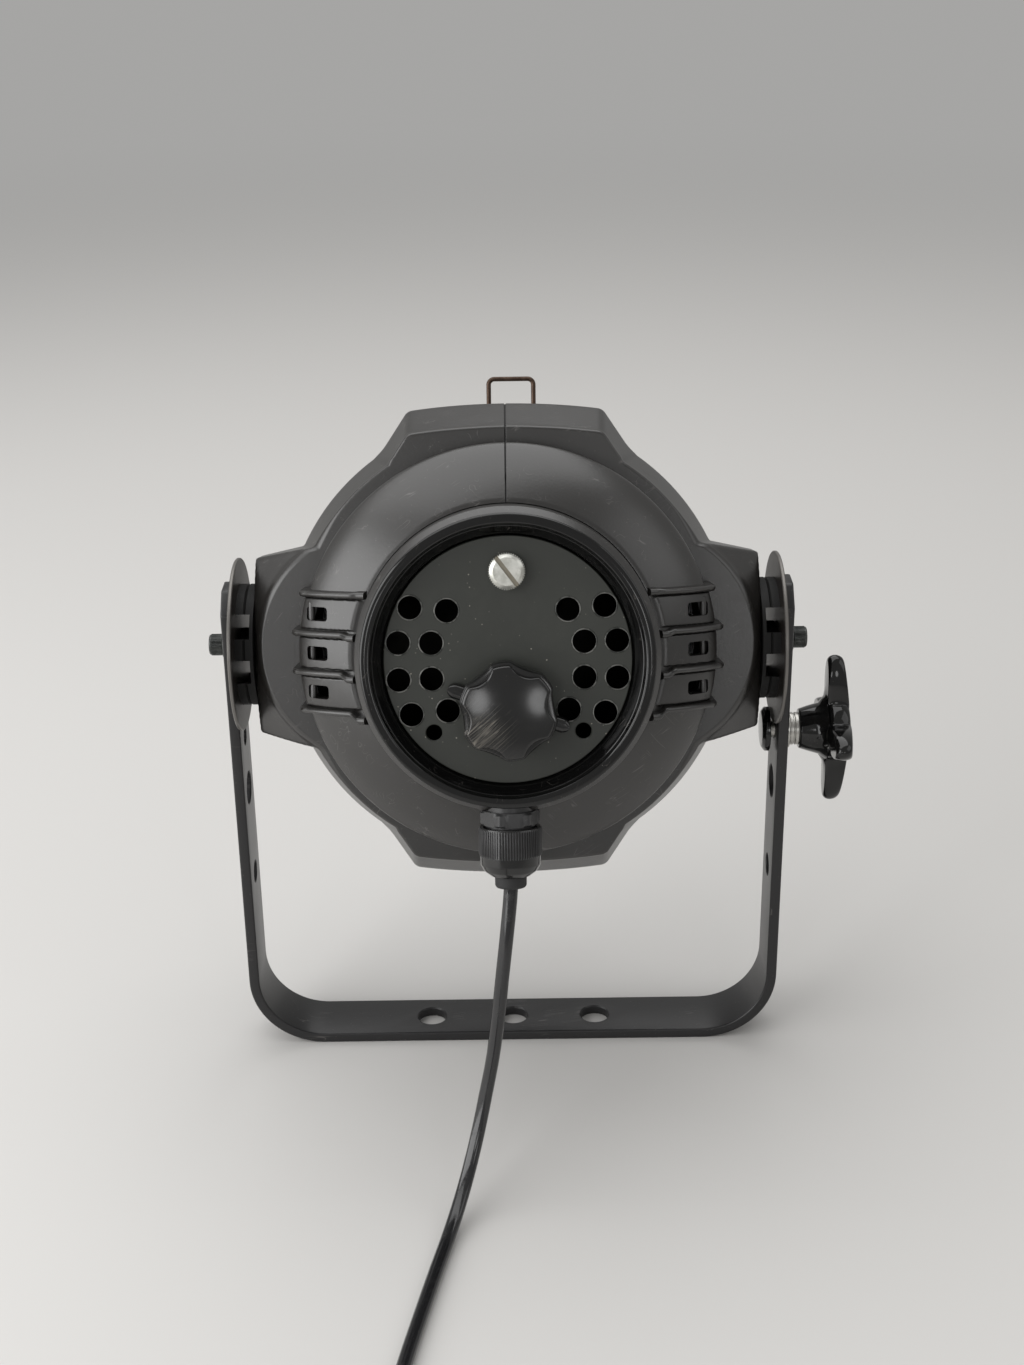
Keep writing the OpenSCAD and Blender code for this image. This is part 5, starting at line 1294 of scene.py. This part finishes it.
bore, pad_end, washer_end = STUD_R + 0.06, PAD_X + PAD_T, CLAMP_WASHER_X + CLAMP_WASHER_T
stud_start, stud_end, collar_end = PAD_X + 1.3, HUB_X + HUB_L / 2, COLLAR_X + COLLAR_L
made("clamp_pad", lathe([
    (0, PAD_X, 0), (PAD_R - 2.2, PAD_X + 0.25, 2.5), (PAD_R, PAD_X + 1.8, 1.2), (PAD_R, pad_end, 0.4),
    (bore, pad_end, 0.2), (bore, PAD_X + 1, 0), (0, PAD_X + 1, 0)], 96, 6),
     CLAMP, "yoke", gloss_black, "moulded_black")
made("clamp_washer", lathe([
    (bore, CLAMP_WASHER_X, 0.1), (CLAMP_WASHER_R, CLAMP_WASHER_X, 0.35), (CLAMP_WASHER_R, washer_end, 0.35),
    (bore, washer_end, 0.1)], 96), CLAMP, "clamp_washer", turned_steel, "zinc_steel")
made("clamp_stud", lathe([
    (0, stud_start, 0), (STUD_R, stud_start, 0.4), (STUD_R, COLLAR_X, 0.2), (COLLAR_R, COLLAR_X, 0.3),
    (COLLAR_R, COLLAR_X + 1.7, 0.2), (COLLAR_R - GROOVE, COLLAR_X + 1.9, 0.1),
    (COLLAR_R - GROOVE, COLLAR_X + 2.4, 0.1), (COLLAR_R, COLLAR_X + 2.6, 0.2), (COLLAR_R, collar_end, 0.3),
    (STUD_R, collar_end, 0.1), (STUD_R, stud_end, 0.4), (0, stud_end, 0)], 96), CLAMP, "clamp_handle", turned_steel, "zinc_steel")

# %% Clamp handle
ARM_IN, FRONT_SCALES = 3.4, (0.82, 0.64, 0.46, 0.3, 0.16, 0.05)
angles = np.linspace(0, 2 * math.pi, 240, endpoint=False)
lobe_r = 4.0 + (ARM_REACH - 3.9) * ((1 + np.cos(4 * (angles - math.radians(ARM_TURN)))) / 2) ** 1.5
arm_r = softmax(lobe_r, np.full_like(angles, ARM_ROOT + 0.4), 5.0)
past_root = arm_r - ARM_ROOT
back_y, half = HUB_X + HUB_L, ARM_TIP_T / 2
rim_mid = back_y + half - 0.8


def arm_front(r):
    """Height of the arms' front face at a distance from the axis: a low crown, then a fall to the tips."""
    fall = (ARM_T - ARM_TIP_T) * np.clip((r - ARM_ROOT) / (ARM_REACH - 3 - ARM_ROOT), 0, 1.1)
    return back_y + ARM_T - fall + 1.5 * np.clip(1 - r / ARM_ROOT, 0, 1) ** 1.5


widening = HUB_LARGE_R - 1.6 - HUB_SMALL_R
hub = [(HUB_X, HUB_SMALL_R - 4.5), (HUB_X, HUB_SMALL_R - 0.7), (HUB_X + 0.2, HUB_SMALL_R - 0.2),
       (HUB_X + 0.8, HUB_SMALL_R)]
hub += [(HUB_X + HUB_L * t, HUB_SMALL_R + widening * t ** 1.05) for t in (0.3, 0.5, 0.7)]
under_arms = [(back_y - 1.6, HUB_LARGE_R - 0.9 + 0.10 * past_root),
              (back_y - 0.9, HUB_LARGE_R - 0.4 + 0.32 * past_root),
              (back_y - 0.75, np.maximum(arm_r - 3.2, HUB_LARGE_R - 0.2))]
rim_back = [(rim_mid + (half + 0.05) * math.sin(t), arm_r - 2.9 * (1 - math.cos(t)))
            for t in np.linspace(-0.42 * math.pi, 0.0, 6)]
rim_front = [(rim_mid + (arm_front(arm_r - 3) - rim_mid) * math.sin(t), arm_r - ARM_IN * (1 - math.cos(t)))
             for t in np.linspace(0.0, 0.5 * math.pi, 8)[1:]]
front = [(arm_front((arm_r - ARM_IN) * k), (arm_r - ARM_IN) * k) for k in FRONT_SCALES]
handle_rings = [np.stack([r * np.cos(angles), y + 0 * angles, r * np.sin(angles)], axis=-1)
                for y, r in hub + under_arms + rim_back + rim_front + front]
made("clamp_handle", loft(handle_rings), CLAMP, "clamp_handle", gloss_black, "moulded_black", sharp=60)

# %% [markdown]
# The lens end: a turned barrel with a rolled groove behind its mouth, a plano-convex
# glass on a gasket, and the bright bowl behind it. The bowl and the glass are drawn from
# their curves in fine steps, so that reflections run smoothly over them.

# %% Barrel, glass and bowl
BARREL_R, BARREL_BACK_R, BARREL_END, BARREL_WALL = 95.0, 92.0, 84.0, 3.0
LENS_Y, LENS_R, LENS_SEAT, LENS_EDGE_T, LENS_BULGE, LENS_FLAT = 68.0, 83.0, 1.6, 5.0, 7.0, 8
BOWL_R, BOWL_Y, BOWL_DEPTH, BOWL_HOLE, BOWL_T, BOWL_RIM_R = 84.0, 7.5, 52.0, 23.0, 1.4, 91
BOWL_OUTSIDE = (0.035, 0.033, 0.031)

groove_r, mouth_r, bore_r = BARREL_R - 1, LENS_R + 0.4, BARREL_BACK_R - BARREL_WALL
made("front_barrel", lathe([
    (BARREL_BACK_R, BARREL_SEAT_Y, 0), (BARREL_BACK_R, FLANGE_HALF, 0), (BARREL_R, FLANGE_HALF, 0),
    (BARREL_R, FLANGE_HALF + 8, 1.2), (groove_r, FLANGE_HALF + 9.5, 1.2), (groove_r, LENS_Y - 8, 1.2),
    (BARREL_R, LENS_Y - 6.5, 1.2), (BARREL_R, BARREL_END, 0.4), (mouth_r, BARREL_END, 0.4),
    (mouth_r, LENS_Y, 0.1), (LENS_R - 5, LENS_Y, 0.4), (LENS_R - 5, LENS_Y - 2, 0.6), (bore_r, LENS_Y - 6, 1.0),
    (bore_r, BARREL_SEAT_Y, 0)], 192, 5), LANTERN, "housing", casting_paint, "casting")

lens_back, lens_front, bulge_r = LENS_Y + LENS_SEAT, LENS_Y + LENS_SEAT + LENS_EDGE_T, LENS_R - LENS_FLAT
glass_outline = [(0, lens_back), (LENS_R - 0.5, lens_back), (LENS_R, lens_back + 0.5),
                 (LENS_R, lens_front - 0.5), (LENS_R - 0.5, lens_front)]
glass_outline += [(r, lens_front + LENS_BULGE * (1 - (r / bulge_r) ** 2)) for r in np.linspace(bulge_r, 0, 20)]
made("lens", lathe(glass_outline, 160), LANTERN, "housing", lens_glass, "lens_glass", sharp=25)


def bowl_y(r):
    return BOWL_Y - BOWL_DEPTH * (1 - (r / BOWL_R) ** 2)


radii = np.linspace(BOWL_HOLE, BOWL_R, 28)
bowl_outline = [(r, bowl_y(r)) for r in radii]
bowl_outline += [(BOWL_R, BARREL_SEAT_Y - BOWL_T), (BOWL_RIM_R, BARREL_SEAT_Y - BOWL_T),
                 (BOWL_RIM_R, BARREL_SEAT_Y), (BOWL_R - BOWL_T, BARREL_SEAT_Y)]
bowl_outline += [(r - 0.6, bowl_y(r) + BOWL_T) for r in radii[::-1]]
in_bowl = mirror.turned((-math.degrees(TILT), 0, 0), middle=LANTERN.translation)
bowl_x, bowl_z = mirror.along("X", in_bowl), mirror.along("Z", in_bowl)
curve = BOWL_DEPTH / BOWL_R ** 2 / MM * (bowl_x * bowl_x + bowl_z * bowl_z)
off_bowl = mirror.along("Y", in_bowl) - bowl_y(0) * MM - curve
outside = 1 - mirror.ramp(off_bowl, 0.3 * BOWL_T * MM, 0.7 * BOWL_T * MM)
mirror.set(Base_Color=mirror.blend(outside, mirror.coat(), BOWL_OUTSIDE), Roughness=0.16 + 0.4 * outside)
made("reflector", lathe(bowl_outline, 160), LANTERN, "housing", mirror, "reflector", sharp=50)
paint(rubber, "lens_gasket")
paint(casting_paint, "lens_ring", "accessory_holder")

# %% Retaining clip
CLIP_W, CLIP_H, CLIP_D, CLIP_CORNER = 24.5, 23.5, 2.3, 4.0
CLIP_X, CLIP_Y, CLIP_Z, LUG_W = 3.0, 82.6, 100.1, 3.0


def bend(mid_u, mid_v, radius, a0, a1, steps=10):
    turns = np.linspace(math.radians(a0), math.radians(a1), steps)
    return [(mid_u + radius * math.cos(a), mid_v + radius * math.sin(a)) for a in turns]


def ring_round(middle, side, up, radius, steps):
    """A circle about a point, from two directions across it."""
    turns = np.linspace(0, 2 * math.pi, steps, endpoint=False)
    return [middle + radius * (side * math.cos(a) + up * math.sin(a)) for a in turns]


def tube(points, radius, sides=20):
    """A round tube through points that all lie in one plane, y constant."""
    points, across = [Vector(p) for p in points], Vector((0, 1, 0))
    return loft([ring_round(here, across.cross((after - before).normalized()), across, radius, sides)
                 for before, here, after in zip([points[0]] + points, points, points[1:] + [points[-1]])])


foot_x = CLIP_W / 2 - 1.5 * CLIP_D
half_clip = [(foot_x - LUG_W - 1.2, 0), (foot_x - 0.4, 0)] + bend(foot_x, CLIP_D, CLIP_D, -90, 0)
half_clip += bend(CLIP_W / 2 - CLIP_CORNER, CLIP_H - CLIP_CORNER, CLIP_CORNER - CLIP_D / 2, 0, 90)
wire = [(u, 0, v) for u, v in half_clip] + [(-u, 0, v) for u, v in half_clip[::-1]]
made("retaining_clip", tube(wire, CLIP_D / 2), LANTERN @ at(CLIP_X, CLIP_Y, CLIP_Z),
     "retaining_clip", wire_brown, "wire")

# %% [markdown]
# What the holes and the lens show of the inside. The carriage, its rods and spindle and
# the two housing screws are the CAD's own solids. The socket gets its wall and the lamp
# its glass, with a bright capsule inside.

# %% Lamp and socket
SOCKET_BACK, SOCKET_R, SOCKET_L = -57.5, 13.0, 22.0
LAMP_BACK, LAMP_R, LAMP_L, LAMP_BASE_R = -41.5, 9.0, 46.0, 6.0
FILAMENT_R, FILAMENT_WIRE_R, FILAMENT_TURNS, FILAMENT_RISE = 2.2, 0.28, 7, 0.36

socket_top, lamp_top, base_bore = SOCKET_BACK + SOCKET_L, LAMP_BACK + LAMP_L, LAMP_BASE_R + 0.03
made("lamp_socket", lathe([
    (0, SOCKET_BACK, 0), (SOCKET_R, SOCKET_BACK, 0.6), (SOCKET_R, socket_top - 4, 0.8),
    (SOCKET_R - 2, socket_top - 2, 0.5), (SOCKET_R - 2, socket_top, 0.8), (base_bore, socket_top, 0.5),
    (base_bore, LAMP_BACK, 0), (0, LAMP_BACK, 0)], 80),
     LANTERN, "lamp_carriage", ceramic, "ceramic")
made("lamp", lathe([
    (0, LAMP_BACK, 0), (LAMP_BASE_R, LAMP_BACK, 0.6), (LAMP_BASE_R, LAMP_BACK + 7.5, 2.5),
    (LAMP_R, LAMP_BACK + 13, 4), (LAMP_R, lamp_top - 6, 5), (3.0, lamp_top, 2.0), (0, lamp_top, 0)], 96, 8),
     LANTERN, "lamp_carriage", lamp_glass, "lamp_glass", sharp=60)

coil = [Vector((FILAMENT_R * math.cos(a), LAMP_BACK + 22 + a * FILAMENT_RISE, FILAMENT_R * math.sin(a)))
        for a in np.linspace(0, 2 * math.pi * FILAMENT_TURNS, FILAMENT_TURNS * 14)]
rings = []
for here, after in zip(coil, coil[1:]):
    side = Vector((here.x, 0, here.z)).normalized()
    rings.append(ring_round(here, side, (after - here).normalized().cross(side), FILAMENT_WIRE_R, 8))
filament = shape("lamp_filament", [loft(rings)], LANTERN, sharp=60)
dress(filament, "lamp_carriage", turned_steel, "zinc_steel")

paint(aluminium, "lamp_carriage")
paint(turned_steel, "guide_rods", "focus_spindle")
paint(bolt_black, "housing_screws")

# %% [markdown]
# The plug is a round moulded one, turned about its own axis, with relief ribs on its
# neck and finger grooves round its waist. It lies on the table beside the coil. A black
# strap holds the turns together.

# %% Plug and strap
PLUG = at(plug_place.x, coil_end.y, PLUG_R) @ ALONG_MINUS_X
RELIEF_L, RELIEF_RIBS, PLUG_L, PLUG_GRIPS, PIN_R, PIN_L, PIN_PITCH = 10.0, 4, 30.0, 40, 2.4, 19.0, 19.0
TIE_T, TIE_W, TIE_GAP, TIE_SOFT = 0.8, 5.0, 0.3, 0.15
face_y, neck_r = RELIEF_L + PLUG_L, CABLE_W / 2

plug_outline = [(0, 0, 0), (neck_r + 1.0, 0, 0.6)]
for i in range(RELIEF_RIBS):
    y, r = 1.4 + 2.1 * i, neck_r + 1.15 + 0.3 * i
    plug_outline += [(r, y, 0.2), (r - 0.9, y + 0.2, 0.2), (r - 0.9, y + 0.9, 0.2), (r + 0.15, y + 1.1, 0.2)]
plug_outline += [
    (neck_r + 2.5, RELIEF_L, 1.0), (PLUG_R * 0.6, RELIEF_L + 3, 2.5),
    (PLUG_R - 3.0, RELIEF_L + PLUG_L * 0.34, 3),
    (PLUG_R - 2.2, RELIEF_L + PLUG_L * 0.60, 2), (PLUG_R, RELIEF_L + PLUG_L * 0.70, 1.6), (PLUG_R, face_y, 1.2),
    (PLUG_R - 2.2, face_y, 0.3), (PLUG_R - 2.4, face_y - 0.5, 0.2), (0, face_y - 0.5, 0)]
plug = made("plug_body", lathe(plug_outline), PLUG, "yoke", soft_black, "plug_plastic")
grip = ridge([(-0.6, 0.7), (0.36, 0.49)], 0.6, [(RELIEF_L + PLUG_L * share, 1) for share in (0.38, 0.58)])
grips = copied("plug_grips", grip, [p for p in around(PLUG_GRIPS, PLUG_R - 2.7) if abs(p[0]) > 5], PLUG,
               "yoke", soft_black, "plug_plastic")
pin_outline = [(0, face_y - 1, 0), (PIN_R, face_y - 1, 0), (PIN_R, face_y + PIN_L, 1.4), (0, face_y + PIN_L, 0)]
pin = lathe(pin_outline, 40, 5)
pins = shape("plug_pins", [moved(pin, at(side * PIN_PITCH / 2, 0, 0)) for side in (-1, 1)], PLUG)
dress(pins, "yoke", pin_plate, "plug_brass", "plug_pins")

tie_left = COIL_MID.x - (COIL_OUT_R - COIL_STEP * 0.5 + neck_r + TIE_GAP) - TIE_T
tie_right = COIL_MID.x - (COIL_OUT_R - COIL_STEP * 1.75 - neck_r - TIE_GAP) + TIE_T
tie_top = COIL_Z + COIL_LIFT + CABLE_T / 2 + TIE_GAP + TIE_T


def tie_ring(y, inset):
    """The strap's loop seen along Y, drawn in from its outside by a distance."""
    corners = box(tie_left + inset, inset, tie_right - inset, tie_top - inset, 1.6)
    return [(u, COIL_MID.y + y, v) for u, v in rounded(corners, 5)]


edge = TIE_W / 2
band = ((-edge, TIE_SOFT), (0.2 - edge, 0), (edge - 0.2, 0), (edge, TIE_SOFT), (edge, TIE_T), (-edge, TIE_T))
tie = made("cable_tie", loft([tie_ring(*row) for row in band], ends="loop"), PLAIN,
           "yoke", soft_black, "cable_tie")

# %% [markdown]
# The lead rides no body.

# %% The lead
dress(lead, "", vinyl, "cable_sheath", "power_cable", "cable_coil")
[tuple(p * MM) for p in lead_line]
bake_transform(lead)

# %% [markdown]
# A pale floor, a broad light overhead, a tall soft key light on the left, a weaker fill on
# the right, and two small lamps behind the camera for glossy faces to reflect. The world
# is an even grey. Far from the object the floor takes on that same grey for what is seen
# directly or in a reflection, so that it has no edge from any side.

# %% Floor and light
REACH = 12000
BACKGROUND = (0.38, 0.377, 0.37)
LIGHTS = (
    # name, place, aimed at this height on the axis, size, watts, outline
    ("overhead", (-0.3, 0.5, 2.0), 0.1, (2.8, 2.2), 32, "RECTANGLE"),
    ("key", (-1.3, -0.6, 0.66), 0.17, (1.7, 1.25), 21, "RECTANGLE"),
    ("fill", (1.25, -0.35, 1.05), 0.17, (1.0, 0.9), 2.2, "RECTANGLE"),
    ("left_lamp", (-0.42, -1.5, 0.62), 0.15, (0.28, 0.38), 1.0, "ELLIPSE"),
    ("right_lamp", (0.42, -1.5, 0.62), 0.15, (0.28, 0.38), 0.9, "ELLIPSE"))

corners = [(-REACH, -REACH, 0), (REACH, -REACH, 0), (REACH, REACH, 0), (-REACH, REACH, 0)]
floor = shape("floor", [(corners, [(0, 1, 2, 3)])])
pale = Finish("pale floor", (0.60, 0.59, 0.575), 0.65)
far = 1 - pale.near(0, 0, 0, 900, 3000)
seen = [pale.add("ShaderNodeLightPath", output=f"Is {kind} Ray")
        for kind in ("Camera", "Glossy", "Transmission")]
hidden = far * far * (3 - 2 * far) * seen[0].most(seen[1]).most(seen[2])
haze = pale.add("ShaderNodeEmission", {}, {"Color": (*BACKGROUND, 1)})
mixed = pale.add("ShaderNodeMixShader", {}, {0: hidden, 1: Val(pale, pale.shader.outputs[0]), 2: haze})
pale.inner.links.new(mixed.socket, pale.out.inputs[0])
floor.data.materials.append(pale.material)

for name, place, aim_z, size, watts, outline in LIGHTS:
    lamp = bpy.data.lights.new(name, "AREA")
    lamp.shape, lamp.size, lamp.size_y, lamp.energy = outline, *size, watts
    holder = bpy.data.objects.new(name, lamp)
    holder.location = place
    holder.rotation_euler = (Vector((0, 0, aim_z)) - Vector(place)).to_track_quat("-Z", "Y").to_euler()
    holder.visible_camera = False
    bpy.context.scene.collection.objects.link(holder)

world = bpy.data.worlds.new("studio")
world.use_nodes = True
world.node_tree.nodes["Background"].inputs["Color"].default_value = (*BACKGROUND, 1)
bpy.context.scene.world = world
bpy.context.scene.view_settings.view_transform = "Standard"
print("lights:", len(LIGHTS))

# %% [markdown]

# %% End
print("scene built")
